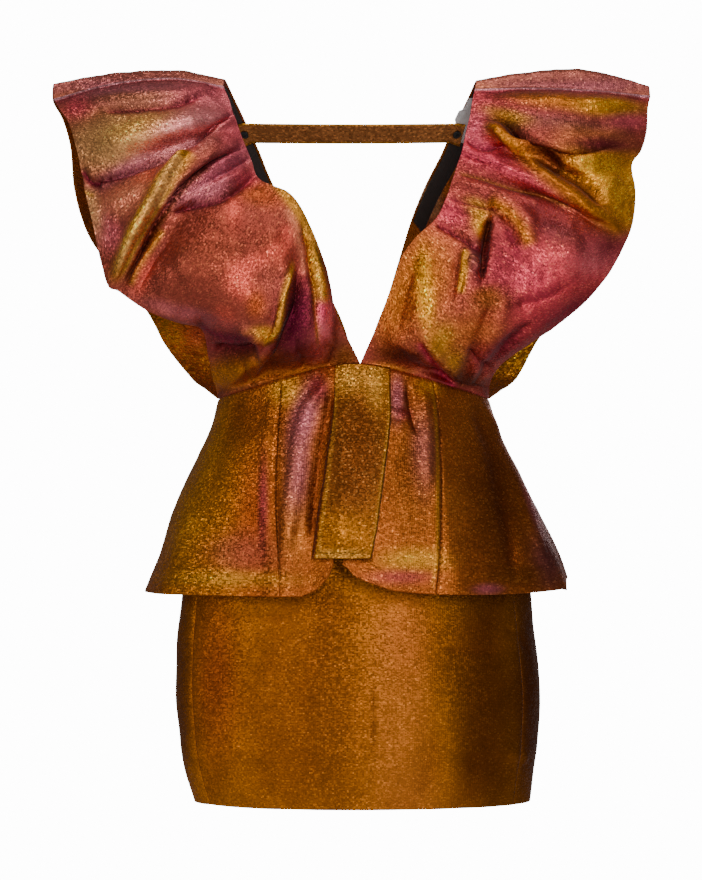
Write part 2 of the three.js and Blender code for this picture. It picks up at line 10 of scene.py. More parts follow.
import bpy
import numpy as np
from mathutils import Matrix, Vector


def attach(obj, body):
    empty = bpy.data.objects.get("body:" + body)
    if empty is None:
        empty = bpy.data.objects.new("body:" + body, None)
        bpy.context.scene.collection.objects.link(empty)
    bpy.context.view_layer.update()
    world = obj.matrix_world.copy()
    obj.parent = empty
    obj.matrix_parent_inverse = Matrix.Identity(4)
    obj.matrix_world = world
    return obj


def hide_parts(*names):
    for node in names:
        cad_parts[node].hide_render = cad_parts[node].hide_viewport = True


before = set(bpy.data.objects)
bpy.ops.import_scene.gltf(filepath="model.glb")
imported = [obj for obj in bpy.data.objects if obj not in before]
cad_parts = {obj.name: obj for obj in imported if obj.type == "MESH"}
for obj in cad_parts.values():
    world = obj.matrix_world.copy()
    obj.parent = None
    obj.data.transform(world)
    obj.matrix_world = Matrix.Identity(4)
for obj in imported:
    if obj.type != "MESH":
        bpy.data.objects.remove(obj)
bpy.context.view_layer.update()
print("nodes:", sorted(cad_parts))

# %% [markdown]
# ## Sizes and small tables
# A dress is cut from sizes, so this one is kept as sizes too. Lengths are in millimetres until a mesh is made.
# A table is a list of rows with named columns, which reads like a cutting sheet and is easy to change.


# %% Sizes
def table(columns, rows):
    names = columns.split()
    return [dict(zip(names, row)) for row in rows]


MM = 0.001
CLOTH = 1.6  # lame on its backing
TAPE = 0.9
CAD_WALL = 2.0  # the solids' wall, which tells how deep a laid piece lies
CAD_TRIM = 1.0
LAID = 0.3  # the air between two laid pieces
WAIST_X = -1.5
WAIST_HALF = 134.5
WAIST_FRONT = 97
WAIST_BACK = 88
WAIST_FRONT_Z = -278
WAIST_SIDE_Z = -311
WAIST_BACK_Z = -296
WAIST_ROUNDING = 0.25
V_POINT_X = 5
WAIST_SHARES = [0, 0.29, 0.62, 1]  # where a bodice panel's four lines come down to the waist
BLOUSE_RISE = 8  # how far above the waist, and out from it, the bodice turns in
BLOUSE_FULL = 5
PEPLUM_DROP = 192
SKIRT_DROP = 401
SKIRT_SEAM_ANGLE = 64
FLAP_PROUD = 7  # how far the flap stands off the peplum, and how far its left wall leans
FLAP_SKEW = 4
FLAP_END_Z = -466
FLAP_SHARE = 0.85  # how far down the peplum its end is measured
STRAP_TOP_Z = -30
STRAP_WIDTH = 18.5
CAMERA_X = -4
CAMERA_AWAY = 4000  # the folds' lines and the tones of the bodice are drawn as seen from there
CAMERA_Z = -352
FLOOR_Z = -1400
print("waist", round(math.pi * (WAIST_HALF + (WAIST_FRONT + WAIST_BACK) / 2)), "mm round")

# %% [markdown]
# ## The bodice's ribs
# A pleated sleeve is hard to describe as a whole, and easy as a row of ribs. Each rib is one line of cloth from
# the neck edge, over the fullest part, to the sleeve hem. Pleats are ribs that stand out, and troughs are ribs
# that lie back. A smooth surface through all the ribs is the panel.

# %% Ribs of the front
FRONT_LEFT = table("rib neck near far hem", [
    ("shoulder seam", [-132, -10, 1], [-182, -14, 8], [-239, -14, 3], [-301, -2, -11]),
    ("shoulder roll", [-126, -20, -12], [-178, -42, -8], [-241, -40, -14], [-295, -10, -21]),
    ("first trough", [-123, -28, -22], [-175, -54, -21], [-234, -52, -29], [-285, -20, -36]),
    ("second pleat", [-119, -38, -33], [-166, -80, -40], [-225, -80, -56], [-276, -34, -62]),
    ("second trough", [-116, -42, -42], [-157, -70, -55], [-211, -76, -80], [-268, -50, -99]),
    ("third pleat", [-112, -50, -53], [-152, -88, -68], [-212, -96, -112], [-257, -70, -142]),
    ("gold ridge", [-108, -56, -63], [-146, -98, -81], [-204, -116, -136], [-243, -90, -197]),
    ("under ridge", [-102, -62, -77], [-139, -94, -100], [-192, -110, -161], [-230, -94, -207]),
    ("smooth panel", [-93, -76, -97], [-125, -116, -131], [-167, -134, -184], [-202, -106, -226]),
    ("panel middle", [-62, -98, -113], [-94, -132, -162], [-135, -142, -209], [-175, -98, -236]),
    ("bust", [-42, -112, -148], [-69, -142, -198], [-107, -140, -234], [-151, -80, -242]),
    ("blouse", [-28, -118, -187], [-55, -144, -232], [-100, -128, -261], [-146, -54, -265]),
    ("blouse roll", [-19, -113, -228], [-46, -131, -261], [-100, -104, -283], [-141, -28, -290]),
])
FRONT_RIGHT = table("rib neck near far hem", [
    ("shoulder seam", [120, -10, -2], [174, -14, -2], [234, -14, -4], [295, -2, -8]),
    ("shoulder roll", [117, -20, -15], [173, -43, -17], [232, -42, -20], [292, -12, -21]),
    ("first trough", [115, -28, -27], [171, -56, -38], [232, -56, -48], [290, -22, -44]),
    ("second pleat", [112, -38, -40], [169, -80, -58], [228, -79, -70], [284, -34, -64]),
    ("second trough", [109, -42, -52], [172, -70, -77], [230, -76, -95], [274, -42, -80]),
    ("gold ridge", [106, -54, -66], [171, -96, -96], [227, -106, -122], [276, -62, -108]),
    ("under ridge", [101, -60, -81], [167, -94, -110], [223, -104, -140], [272, -74, -140]),
    ("third pleat", [95, -72, -99], [156, -112, -130], [214, -122, -168], [261, -86, -166]),
    ("fourth pleat", [90, -80, -114], [145, -120, -153], [198, -128, -193], [245, -94, -193]),
    ("bust top", [80, -92, -135], [132, -132, -180], [179, -134, -219], [222, -96, -219]),
    ("bust", [63, -104, -151], [111, -142, -205], [152, -132, -240], [195, -86, -241]),
    ("blouse", [47, -114, -171], [90, -142, -229], [131, -120, -261], [164, -68, -261]),
    ("blouse roll", [38, -117, -196], [68, -134, -251], [116, -102, -278], [142, -44, -277]),
    ("waist tuck", [24, -111, -235], [51, -120, -269], [99, -88, -293], [134, -20, -294]),
])
print(len(FRONT_LEFT), "and", len(FRONT_RIGHT), "ribs in front")

# %% Ribs of the back
BACK_LEFT = table("rib neck near far hem", [
    ("shoulder seam", [-132, -10, 1], [-182, -14, 8], [-239, -14, 3], [-301, -2, -11]),
    ("ridge", [-130, 2, 8], [-175, 6, 17], [-240, 6, 15], [-302, 6, 4]),
    ("behind ridge", [-122, 22, -8], [-179, 45, 2], [-246, 44, -2], [-303, 18, -12]),
    ("first pleat", [-115, 34, -22], [-174, 71, -22], [-239, 68, -29], [-294, 28, -30]),
    ("second pleat", [-107, 46, -39], [-162, 86, -54], [-227, 80, -68], [-287, 40, -57]),
    ("third pleat", [-97, 60, -60], [-146, 100, -90], [-214, 96, -112], [-284, 54, -99]),
    ("back panel", [-85, 76, -89], [-126, 114, -128], [-194, 108, -151], [-270, 66, -145]),
    ("panel middle", [-66, 88, -123], [-102, 122, -169], [-166, 116, -191], [-241, 78, -185]),
    ("blouse", [-48, 94, -158], [-77, 124, -206], [-135, 114, -227], [-211, 82, -222]),
    ("blouse roll", [-28, 96, -200], [-50, 114, -243], [-101, 98, -262], [-191, 66, -258]),
    ("waist tuck", [-11, 92, -237], [-42, 104, -264], [-99, 86, -280], [-165, 40, -289]),
])
BACK_RIGHT = table("rib neck near far hem", [
    ("shoulder seam", [120, -10, -2], [174, -14, -2], [234, -14, -4], [295, -2, -8]),
    ("ridge", [121, 2, 7], [175, 6, 16], [233, 6, 18], [294, 6, 2]),
    ("behind ridge", [114, 22, -8], [173, 45, 0], [238, 44, 0], [292, 18, -14]),
    ("first pleat", [107, 34, -22], [168, 71, -22], [235, 68, -29], [288, 28, -36]),
    ("second pleat", [98, 46, -39], [158, 86, -52], [223, 80, -66], [282, 40, -61]),
    ("third pleat", [88, 60, -62], [145, 100, -88], [210, 96, -110], [275, 54, -99]),
    ("back panel", [72, 76, -93], [120, 114, -128], [190, 108, -151], [261, 66, -141]),
    ("panel middle", [58, 86, -127], [98, 122, -169], [164, 116, -191], [238, 78, -181]),
    ("blouse", [46, 92, -166], [75, 124, -206], [135, 114, -227], [211, 82, -217]),
    ("blouse roll", [34, 94, -205], [55, 114, -241], [106, 98, -262], [186, 66, -250]),
    ("waist tuck", [20, 90, -242], [44, 104, -264], [99, 86, -280], [163, 40, -289]),
])
print(len(BACK_LEFT), "and", len(BACK_RIGHT), "ribs behind")

# %% [markdown]
# ## Peplum and skirt by sections
# A peplum and a skirt are tubes, so they are kept as level sections: how far down, how wide to each side and how
# deep to front and back. The flares are where the peplum stands out more and more towards its hem.

# %% Sections
PEPLUM = table("drop left right front back seamLeft seamRight edgeLeft edgeRight", [
    (0, 134.5, 134.5, 97, 88, -72, 77, 4.8, 5.2),
    (26, 141, 142, 105, 97, -74, 81, 1, 3),
    (52, 153, 151, 114, 107, -76, 83, -3, 0),
    (88, 170, 169, 125, 118, -77, 84, -9, -4),
    (117, 182, 183, 132, 126, -77, 83, -13, -7),
    (158, 194, 202, 141, 134, -74, 81, -18, -11),
    (192, 208, 213, 146, 140, -70, 78, -21, -12),
])
FLARES = table("flare angle spread rise", [
    ("beside the flap", -20, 5, 7),
    ("valley by the flap", -11, 4, -5),
    ("left hip", -62, 9, 5),
    ("right hip", 69, 8, 7),
    ("right of the flap", 27, 6, 4),
    ("right valley", 46, 8, -4),
    ("left back", -118, 10, 6),
    ("left back valley", -140, 9, -5),
    ("right back valley", 138, 9, -5),
    ("right back", 116, 10, 6),
    ("centre back", 178, 9, 4),
])
HEM_LIFT = table("x lift", [
    (-52, 0), (-38, 7), (-26, 19), (-20, 31), (-12, 31), (0, 20),
    (9, 15), (36, 6), (80, 2), (150, 1), (196, 4), (212, 14),
])
FLAP = table("down left right", [
    (0, -18.5, 32.5),
    (0.28, -20.5, 32.5),
    (0.56, -27.5, 26.5),
    (0.86, -35, 19.5),
    (1, -38, 14),
])
SKIRT = table("drop left right front back", [
    (0, 131.4, 131.4, 93.9, 84.9),
    (26, 136, 137, 100, 92),
    (60, 150, 148, 105, 101),
    (100, 160, 163, 109, 111),
    (150, 167, 171, 112, 118),
    (196, 171.5, 176, 115, 122),
    (241, 176, 181, 117, 123),
    (295, 177, 186, 117, 121),
    (348, 172.5, 184, 114, 117),
    (375, 166.5, 179.5, 111, 114),
    (401, 157.5, 176, 108, 111),
])
print("peplum hem", PEPLUM[-1]["left"] + PEPLUM[-1]["right"], "mm across")

# %% [markdown]
# ## Smooth curves
# A Catmull-Rom curve runs through every value of a list and bends gently between them. It is done with numpy
# arrays here, so that one call places thousands of points and the script stays fast.


# %% Curves
def curve(values, place):
    """The curve through values, at one or many places: 0 is the first value, 1 the second."""
    values = np.asarray(values, float)
    place = np.asarray(place, float)
    last = len(values) - 1
    i = np.clip(np.floor(place).astype(int), 0, last - 1)
    t = (place - i).reshape(place.shape + (1,) * (values.ndim - 1))
    b, c = values[i], values[i + 1]
    first = (i > 0).reshape(t.shape)
    final = (i + 1 < last).reshape(t.shape)
    a = np.where(first, values[np.maximum(i - 1, 0)], 2 * b - c)
    d = np.where(final, values[np.minimum(i + 2, last)], 2 * c - b)
    bend = (2 * a - 5 * b + 4 * c - d) * t**2
    twist = (3 * b - a - 3 * c + d) * t**3
    return 0.5 * (2 * b + (c - a) * t + bend + twist)


def look_up(rows, by, value, column):
    """One column of a table, looked up at values of another column."""
    keys = np.array([row[by] for row in rows], float)
    value = np.clip(value, keys[0], keys[-1])
    place = np.interp(value, keys, np.arange(len(keys)))
    return curve([row[column] for row in rows], place)


def mix(a, b, share):
    return a + (b - a) * share


def smooth(value, low, high):
    t = np.clip((value - low) / (high - low), 0, 1)
    return t * t * (3 - 2 * t)


print("skirt half-width 200 mm down:", round(float(look_up(SKIRT, "drop", 200, "left")), 1))

# %% [markdown]
# ## The waist ring
# Everything meets at the waist seam, an oval that dips from centre front to the sides. The bodice, the peplum
# and the skirt all ask this one ring where it is, so they can't drift apart. Angles run round the body from
# centre front, and 90 degrees is the wearer's left side, which is +X.


# %% Waist ring
def ring(angle, left, right, front, back):
    across = np.sin(angle) * np.where(np.sin(angle) < 0, left, right)
    deep = -np.cos(angle) * np.where(np.cos(angle) > 0, front, back)
    return WAIST_X + across, deep


def waist_z(angle):
    middle = np.where(np.cos(angle) > 0, WAIST_FRONT_Z, WAIST_BACK_Z)
    share = np.hypot(np.sin(angle), WAIST_ROUNDING) - WAIST_ROUNDING
    return mix(middle, WAIST_SIDE_Z, share / (math.hypot(1, WAIST_ROUNDING) - WAIST_ROUNDING))


def waist_point(angle):
    x, y = ring(angle, WAIST_HALF, WAIST_HALF, WAIST_FRONT, WAIST_BACK)
    return np.stack([x, y, waist_z(angle)], -1)


def waist_out(point):
    deep = np.where(point[..., 1] < 0, WAIST_FRONT, WAIST_BACK)
    out = np.stack([(point[..., 0] - WAIST_X) / WAIST_HALF**2, point[..., 1] / deep**2, 0 * deep], -1)
    return out / np.linalg.norm(out, axis=-1, keepdims=True)


print("centre front of the waist:", waist_point(np.array(0.0)).round(1))

# %% [markdown]
# ## A panel of cloth
# A panel is a grid of points with an outward direction at each. Its steps are finer close to the edges, where a
# turned edge or a seam bends the cloth within a millimetre or two. `gap_to` gives the distance to a drawn line
# as seen from the front, which is how the folds and the painted streaks below are placed.


# %% Panel helpers
EDGE_STEPS = [0, 0.5, 1.1, 2.0, 3.2]  # how far the first lines of points lie from an edge
PANEL_DOWN = 330  # a bodice panel's rough length and breadth, by which its edge steps are shared out
PANEL_ACROSS = 260


def steps(count, length):
    """Places from 0 to 1, with four fine ones at each end."""
    fine = np.array(EDGE_STEPS) / length
    middle = np.linspace(fine[-1], 1 - fine[-1], count)[1:-1]
    return np.concatenate([fine, middle, 1 - fine[::-1]])


def outward(points, facing):
    normals = np.cross(np.gradient(points, axis=0), np.gradient(points, axis=1))
    normals /= np.maximum(np.linalg.norm(normals, axis=-1, keepdims=True), 1e-9)
    middle = normals[len(normals) // 2, normals.shape[1] // 2]
    return normals if middle @ facing > 0 else -normals


def gap_to(line, x, z):
    """Distance to a smooth line in the front view, and how far along it (0 to 1).

    The distance is below 0 on the line's right-hand side.
    """
    pieces = 8 * (len(line) - 1)
    path = curve(line, np.linspace(0, len(line) - 1, pieces + 1))
    nearest = np.full(x.shape, np.inf)
    where = np.zeros(x.shape)
    side = np.ones(x.shape)
    for k in range(pieces):
        a, d = path[k], path[k + 1] - path[k]
        t = np.clip(((x - a[0]) * d[0] + (z - a[1]) * d[1]) / (d @ d), 0, 1)
        gap = np.hypot(x - a[0] - t * d[0], z - a[1] - t * d[1])
        closer = gap < nearest
        nearest = np.where(closer, gap, nearest)
        where = np.where(closer, (k + t) / pieces, where)
        side = np.where(closer, np.sign(d[0] * (z - a[1]) - d[1] * (x - a[0])), side)
    return nearest * np.where(side == 0, 1, side), where


def lengths(points):
    """How long a panel is down its rows and across its columns, on average, in mm."""
    down = np.linalg.norm(np.diff(points, axis=0), axis=-1).sum(0).mean()
    across = np.linalg.norm(np.diff(points, axis=1), axis=-1).sum(1).mean()
    return down, across


FRONT = np.array([0.0, -1, 0])
BACK = np.array([0.0, 1, 0])
print("steps of a 100 mm edge:", len(steps(60, 100)))

# %% [markdown]
# ## The largest folds and the panel's surface
# A few folds are so large that the solids have them too. They come first, then the panel is laid through its
# ribs and closed on the waist ring. The last stretch is blended onto the true ring, so that the seam is even.

# %% Largest folds
LARGE_LEFT = table("fold from through to width rise", [
    ("valley beside the V", [-58, -180], [-72, -222], [-99, -286], 8, -5),
    ("ridge beside the V", [-68, -178], [-74, -240], [-95, -256], 7, 3),
    ("under-bust hollow", [-140, -258], [-112, -266], [-92, -284], 12, -4),
])
LARGE_RIGHT = table("fold from through to width rise", [
    ("pinch", [130, -136], [128, -165], [124, -198], 7, -6),
    ("curved ridge", [141, -118], [166, -136], [172, -164], 7, 4),
    ("ridge by the pinch", [113, -156], [112, -180], [109, -200], 6, 4),
    ("lower fold", [68, -252], [84, -276], [102, -292], 7, 4),
])


def large_rise(folds, x, z):
    rise = np.zeros_like(x)
    for fold in folds:
        gap, where = gap_to([fold["from"], fold["through"], fold["to"]], x, z)
        fade = 0.35 + 0.65 * np.sin(np.pi * where)
        rise += fold["rise"] * fade * np.exp(-((gap / fold["width"]) ** 2))
    return rise


RIB_SPANS = 3  # from neck to near, near to far and far to hem


def bodice_surface(ribs, folds, waist_from, waist_to, facing, rows, columns):
    lines = np.array([[rib["neck"], rib["near"], rib["far"], rib["hem"]] for rib in ribs], float)
    waist = waist_point(mix(waist_from, waist_to, np.array(WAIST_SHARES)))
    above = waist + waist_out(waist) * BLOUSE_FULL
    for end in (0, RIB_SPANS):
        share = BLOUSE_RISE / (lines[-1, end, 2] - waist[end, 2])
        above[end] = mix(waist[end], lines[-1, end], share)
    above[:, 2] = waist[:, 2] + BLOUSE_RISE
    lines = np.concatenate([lines, above[None], waist[None]])
    down = steps(rows, PANEL_DOWN) * (len(lines) - 1)
    across = steps(columns, PANEL_ACROSS) * RIB_SPANS
    ribs_across = curve(lines.transpose(1, 0, 2), across)
    points = curve(ribs_across.transpose(1, 0, 2), down)
    true_waist = waist_point(mix(waist_from, waist_to, curve(WAIST_SHARES, across)))
    close = smooth(down, len(lines) - 2, len(lines) - 1)[:, None, None]
    points += close * (true_waist - points[-1])
    settle = np.clip((len(lines) - 1 - down) * 2 / 3, 0, 1)[:, None]
    rise = settle * large_rise(folds, points[..., 0], points[..., 2])
    points += rise[..., None] * outward(points, facing)
    return points


print("largest folds:", len(LARGE_LEFT) + len(LARGE_RIGHT))

# %% [markdown]
# ## The small folds
# What makes lame look like lame is its folds: stiff, uneven and sharp on one side. They could come from a cloth
# simulation, but then nobody chooses where they fall. Here each one is a line in the front view with a width and
# a rise: soft, crisp, or steep on one side as where cloth laps over itself. A rise below zero is a trough.

# %% Folds of the left front
FOLDS_LEFT = table("fold line width rise edge", [
    ("shoulder roll", [(-271, -13), (-224, -9), (-174, -4), (-140, 0)], 6, 2.5, "soft"),
    ("shoulder tuck", [(-256, -24), (-218, -21), (-182, -17), (-150, -8)], 4, -4, "soft"),
    ("gold panel", [(-258, -52), (-221, -45), (-182, -40), (-147, -30)], 13, 3, "soft"),
    ("second tuck", [(-268, -93), (-252, -93), (-219, -84), (-171, -63), (-133, -35), (-118, -24)],
     3.4, -6, "right"),
    ("dark curl", [(-272, -82), (-268, -93), (-260, -97), (-254, -94)], 4, -5, "soft"),
    ("pink roll", [(-258, -118), (-221, -106), (-184, -84), (-150, -60)], 7, 3.5, "soft"),
    ("gold ridge", [(-243, -200), (-221, -150), (-203, -118), (-186, -92), (-173, -74), (-165, -63)],
     6, 9, "right"),
    ("under the ridge", [(-237, -206), (-207, -150), (-186, -116), (-166, -92), (-140, -72), (-116, -58)],
     4, -7, "left"),
    ("small ridge", [(-225, -200), (-209, -169), (-190, -140)], 3, 3, "soft"),
    ("beside it", [(-218, -204), (-202, -173), (-184, -149)], 3, -2.5, "soft"),
    ("first neck pleat", [(-109, -60), (-136, -70), (-166, -89), (-183, -109)], 3, -3, "crisp"),
    ("second neck pleat", [(-104, -70), (-124, -82), (-150, -96)], 2.5, -2.5, "crisp"),
    ("mauve edge", [(-185, -127), (-161, -118), (-138, -112), (-118, -102), (-96, -85)], 3.5, -6, "crisp"),
    ("mauve roll", [(-175, -114), (-142, -101), (-107, -81)], 5, 3, "soft"),
    ("panel swell", [(-184, -180), (-145, -168), (-104, -159)], 26, 4, "soft"),
    ("pink swell", [(-90, -142), (-76, -169), (-71, -193)], 12, 3, "soft"),
    ("gold line", [(-62, -180), (-71, -207), (-77, -241), (-93, -257)], 3.5, 5, "soft"),
    ("bust valley", [(-57, -180), (-63, -222), (-78, -262), (-98, -290)], 11, -9, "right"),
    ("edge crease", [(-53, -139), (-46, -162), (-44, -180), (-38, -207), (-36, -263)], 3, -6, "crisp"),
    ("edge roll", [(-44, -154), (-32, -199), (-28, -236), (-20, -265)], 6, 3, "soft"),
    ("under-bust hollow", [(-142, -256), (-118, -262), (-96, -256)], 10, -9, "left"),
    ("star fold", [(-116, -237), (-96, -255), (-90, -280)], 5, 4, "soft"),
    ("waist tuck left", [(-117, -276), (-107, -289), (-101, -299)], 3, -2.5, "soft"),
    ("waist tuck middle", [(-57, -251), (-53, -270), (-51, -286)], 3.5, -3, "soft"),
    ("waist tuck right", [(-19, -257), (-24, -272), (-26, -282)], 3, -2, "soft"),
    ("hem turn", [(-200, -221), (-176, -229), (-151, -236)], 5, 3, "soft"),
])
print(len(FOLDS_LEFT), "folds in the left front")

# %% Folds of the right front
FOLDS_RIGHT = table("fold line width rise edge", [
    ("shoulder roll", [(134, -11), (183, -13), (243, -15), (282, -19)], 6, 2.5, "soft"),
    ("shoulder tuck", [(117, -29), (147, -31), (167, -48), (190, -61), (214, -68), (235, -63), (269, -57)],
     4.5, -6, "crisp"),
    ("mauve roll", [(162, -29), (202, -39), (241, -49), (281, -41)], 8, 3.5, "soft"),
    ("gold shelf", [(200, -78), (235, -88), (269, -100)], 11, 5, "soft"),
    ("long gold ridge", [(128, -36), (150, -50), (182, -84), (221, -113), (250, -133), (270, -150)],
     8, 6, "right"),
    ("dark valley", [(140, -30), (168, -52), (200, -78), (232, -100), (268, -134)], 7, -7, "soft"),
    ("upper pleat", [(110, -52), (129, -60), (155, -57)], 3, -4, "crisp"),
    ("neck pleat", [(104, -66), (126, -74), (150, -78)], 2.5, -3, "crisp"),
    ("middle pleat", [(100, -85), (125, -89), (158, -100), (186, -108), (223, -125), (252, -145)],
     3.5, -5, "crisp"),
    ("pleat roll", [(97, -95), (128, -100), (163, -110), (196, -122)], 5, 3, "soft"),
    ("lower pleat", [(92, -110), (120, -118), (147, -124)], 3, -3, "crisp"),
    ("fine pleat", [(89, -120), (112, -128), (133, -134)], 2.5, -2, "crisp"),
    ("last pleat", [(81, -136), (90, -141), (108, -152), (129, -165)], 3, -4.5, "crisp"),
    ("pinch", [(134, -126), (131, -155), (127, -196)], 3.5, -9, "crisp"),
    ("pinch lip", [(140, -136), (138, -162), (132, -190)], 4, 4, "soft"),
    ("knob", [(115, -168), (120, -175), (121, -184)], 4, 5, "soft"),
    ("curved gold ridge", [(132, -116), (150, -124), (166, -140), (178, -166)], 8, 4, "soft"),
    ("inside its curve", [(141, -128), (154, -142), (163, -164)], 5, -3.5, "soft"),
    ("short gold ridge", [(112, -158), (109, -186), (103, -212)], 4.5, 4, "left"),
    ("beside the pinch", [(103, -168), (99, -193), (97, -217)], 4, -3, "soft"),
    ("gold sweep", [(76, -157), (67, -202), (67, -241), (84, -280)], 10, 4, "soft"),
    ("edge hollow", [(59, -180), (47, -216), (42, -247)], 5, -3, "soft"),
    ("rose swell", [(169, -180), (198, -168), (233, -154)], 16, 4, "soft"),
    ("lower rose fold", [(160, -216), (187, -212), (222, -193)], 6, -3.5, "soft"),
    ("magenta fold", [(63, -251), (80, -280), (102, -302)], 4.5, -5, "soft"),
    ("fold to the waist", [(152, -206), (136, -252), (112, -298)], 9, 4, "soft"),
    ("its valley", [(138, -214), (122, -256), (106, -298)], 6, -4.5, "soft"),
    ("hem fold", [(180, -233), (147, -262), (116, -299)], 6, -5, "left"),
    ("star fold", [(112, -262), (128, -276), (140, -282)], 3, -4, "crisp"),
    ("hem roll", [(196, -229), (161, -258), (126, -293)], 6, 3, "soft"),
    ("waist pull", [(40, -259), (69, -280), (98, -299)], 4, -2.5, "soft"),
])
print(len(FOLDS_RIGHT), "folds in the right front")

# %% [markdown]
# ## The folds behind
# The back isn't seen in the usual view. It is pleated into its neck edge as the front is, so it gets folds of
# the same kind: pleats that fan out from the neck edge, a long ridge across the sleeve and a few soft pulls down
# to the waist. The right back is the left one mirrored, moved and loosened a little, as sewing leaves it.

# %% Folds of the back
FOLDS_BACK_LEFT = table("fold line width rise edge", [
    ("shoulder tuck", [(-262, -18), (-215, -8), (-165, -6), (-128, -10)], 6, -4, "soft"),
    ("first neck pleat", [(-116, -26), (-150, -38), (-196, -56), (-236, -62)], 4, -5, "crisp"),
    ("pleat roll", [(-112, -34), (-150, -50), (-192, -72), (-240, -84)], 7, 4, "soft"),
    ("second neck pleat", [(-106, -44), (-138, -66), (-178, -92), (-224, -106)], 4, -5, "crisp"),
    ("long ridge", [(-100, -56), (-134, -80), (-182, -112), (-248, -132)], 6, 6, "soft"),
    ("under the ridge", [(-98, -64), (-130, -90), (-176, -124), (-238, -146)], 4, -6, "crisp"),
    ("third neck pleat", [(-90, -82), (-116, -108), (-152, -136)], 3.5, -4, "crisp"),
    ("fourth neck pleat", [(-78, -104), (-102, -132), (-128, -158)], 3.5, -3.5, "crisp"),
    ("shoulder blade swell", [(-108, -150), (-152, -166), (-206, -170)], 24, 4, "soft"),
    ("back valley", [(-70, -140), (-86, -186), (-104, -240)], 7, -5, "soft"),
    ("back ridge", [(-56, -152), (-70, -196), (-86, -246)], 6, 4, "soft"),
    ("edge crease", [(-48, -172), (-44, -208), (-34, -248)], 3.5, -3, "crisp"),
    ("side pull", [(-196, -214), (-156, -240), (-120, -276)], 7, -5, "soft"),
    ("side roll", [(-206, -202), (-164, -226), (-126, -262)], 7, 4, "soft"),
    ("waist tuck left", [(-112, -262), (-104, -280), (-100, -292)], 3.5, -3, "soft"),
    ("waist tuck middle", [(-72, -250), (-68, -272), (-64, -286)], 3.5, -3, "soft"),
    ("waist tuck right", [(-38, -244), (-40, -266), (-38, -282)], 3, -2.5, "soft"),
])


def mirrored(folds, shift_x, shift_z, loosen):
    other = []
    for fold in folds:
        line = [(-x + shift_x + 0.06 * (z + 150), z + shift_z) for x, z in fold["line"]]
        other.append({**fold, "line": line, "width": fold["width"] * loosen, "rise": fold["rise"] * 0.92})
    return other


FOLDS_BACK_RIGHT = mirrored(FOLDS_BACK_LEFT, -6, 5, 1.15)
print(len(FOLDS_BACK_LEFT) + len(FOLDS_BACK_RIGHT), "folds behind")

# %% [markdown]
# ## Pressing the folds into a panel
# Each fold pushes the cloth along its outward direction. A soft fold has a bell's profile, and a crisp one has a
# sharp bottom, like a pressed pleat. Folds die out at their ends, and no fold reaches a seam, where the stitches
# hold the cloth. Long faint waves, from a seeded list of sines, keep the flat parts from looking ironed.


# %% Fold tools
STEEP_SIDE = 0.34  # the widths of a fold's two sides where one is steep, as shares of its width
GENTLE_SIDE = 1.15
FOLD_REACH = 6  # in widths


def fold_rise(folds, x, z):
    rise = np.zeros_like(x)
    for fold in folds:
        gap, where = gap_to(fold["line"], x, z)
        ends = smooth(where, 0, 0.16) * smooth(1 - where, 0, 0.2)
        width = fold["width"] * (0.65 + 0.5 * np.sin(np.pi * where))
        steep = {"left": gap > 0, "right": gap < 0}.get(fold["edge"])
        if steep is not None:
            width = np.where(steep, STEEP_SIDE * width, GENTLE_SIDE * width)
        reach = np.abs(gap) / width
        bell = np.exp(-(reach**2))
        if fold["edge"] == "crisp":
            bell = 0.65 * np.exp(-1.35 * reach) + 0.35 * bell
        rise += fold["rise"] * (0.1 + 0.9 * ends) * bell * (reach < FOLD_REACH)
    return rise


def waves(points, count, longest, shortest, height, seed):
    chance = np.random.default_rng(seed)
    total = np.zeros(points.shape[:-1])
    for _ in range(count):
        heading = chance.normal(size=3)
        heading /= np.linalg.norm(heading)
        length = chance.uniform(shortest, longest)
        turn = chance.uniform(0, 2 * np.pi)
        total += np.sin(points @ heading * 2 * np.pi / length + turn)
    return height * total / math.sqrt(count)


def crumple(points, height, seed):
    """Short faint creases that come and go, as stiff cloth keeps them from being handled."""
    chance = np.random.default_rng(seed)
    total = np.zeros(points.shape[:-1])
    wander = waves(points, 8, 80, 35, 1.0, seed + 100)
    for _ in range(7):
        heading = chance.normal(size=3)
        heading /= np.linalg.norm(heading)
        length, turn, patch = chance.uniform(13, 30), chance.uniform(0, 6), chance.uniform(50, 90)
        place = points @ heading * np.pi / length + 1.6 * wander + turn
        here = smooth(np.sin(points @ np.roll(heading, 1) * 2 * np.pi / patch + turn), 0.1, 0.9)
        total += here * (np.abs(np.sin(place)) ** 0.8 - 0.6)
    return height * total


def edge_fade(points, top, bottom, first, last):
    """How freely the cloth may move at each place: each edge holds it by a given amount over some mm."""
    rows, columns = points.shape[:2]
    down = np.concatenate([[0], np.cumsum(np.linalg.norm(np.diff(points[:, columns // 2], axis=0), axis=-1))])
    across = np.concatenate([[0], np.cumsum(np.linalg.norm(np.diff(points[rows // 2], axis=0), axis=-1))])
    free = np.ones((rows, columns))
    for (hold, over), run in ((top, down), (bottom, down[-1] - down)):
        free *= (1 - hold + hold * smooth(run, 0, over))[:, None]
    for (hold, over), run in ((first, across), (last, across[-1] - across)):
        free *= (1 - hold + hold * smooth(run, 0, over))[None, :]
    return free


def band(distance, middle, width):
    """A soft band: 1 at its middle, and close to 0 two widths away."""
    return np.exp(-(((distance - middle) / width) ** 2))


print("waves at the origin:", waves(np.zeros((1, 3)), 12, 90, 30, 1.0, 1).round(3))
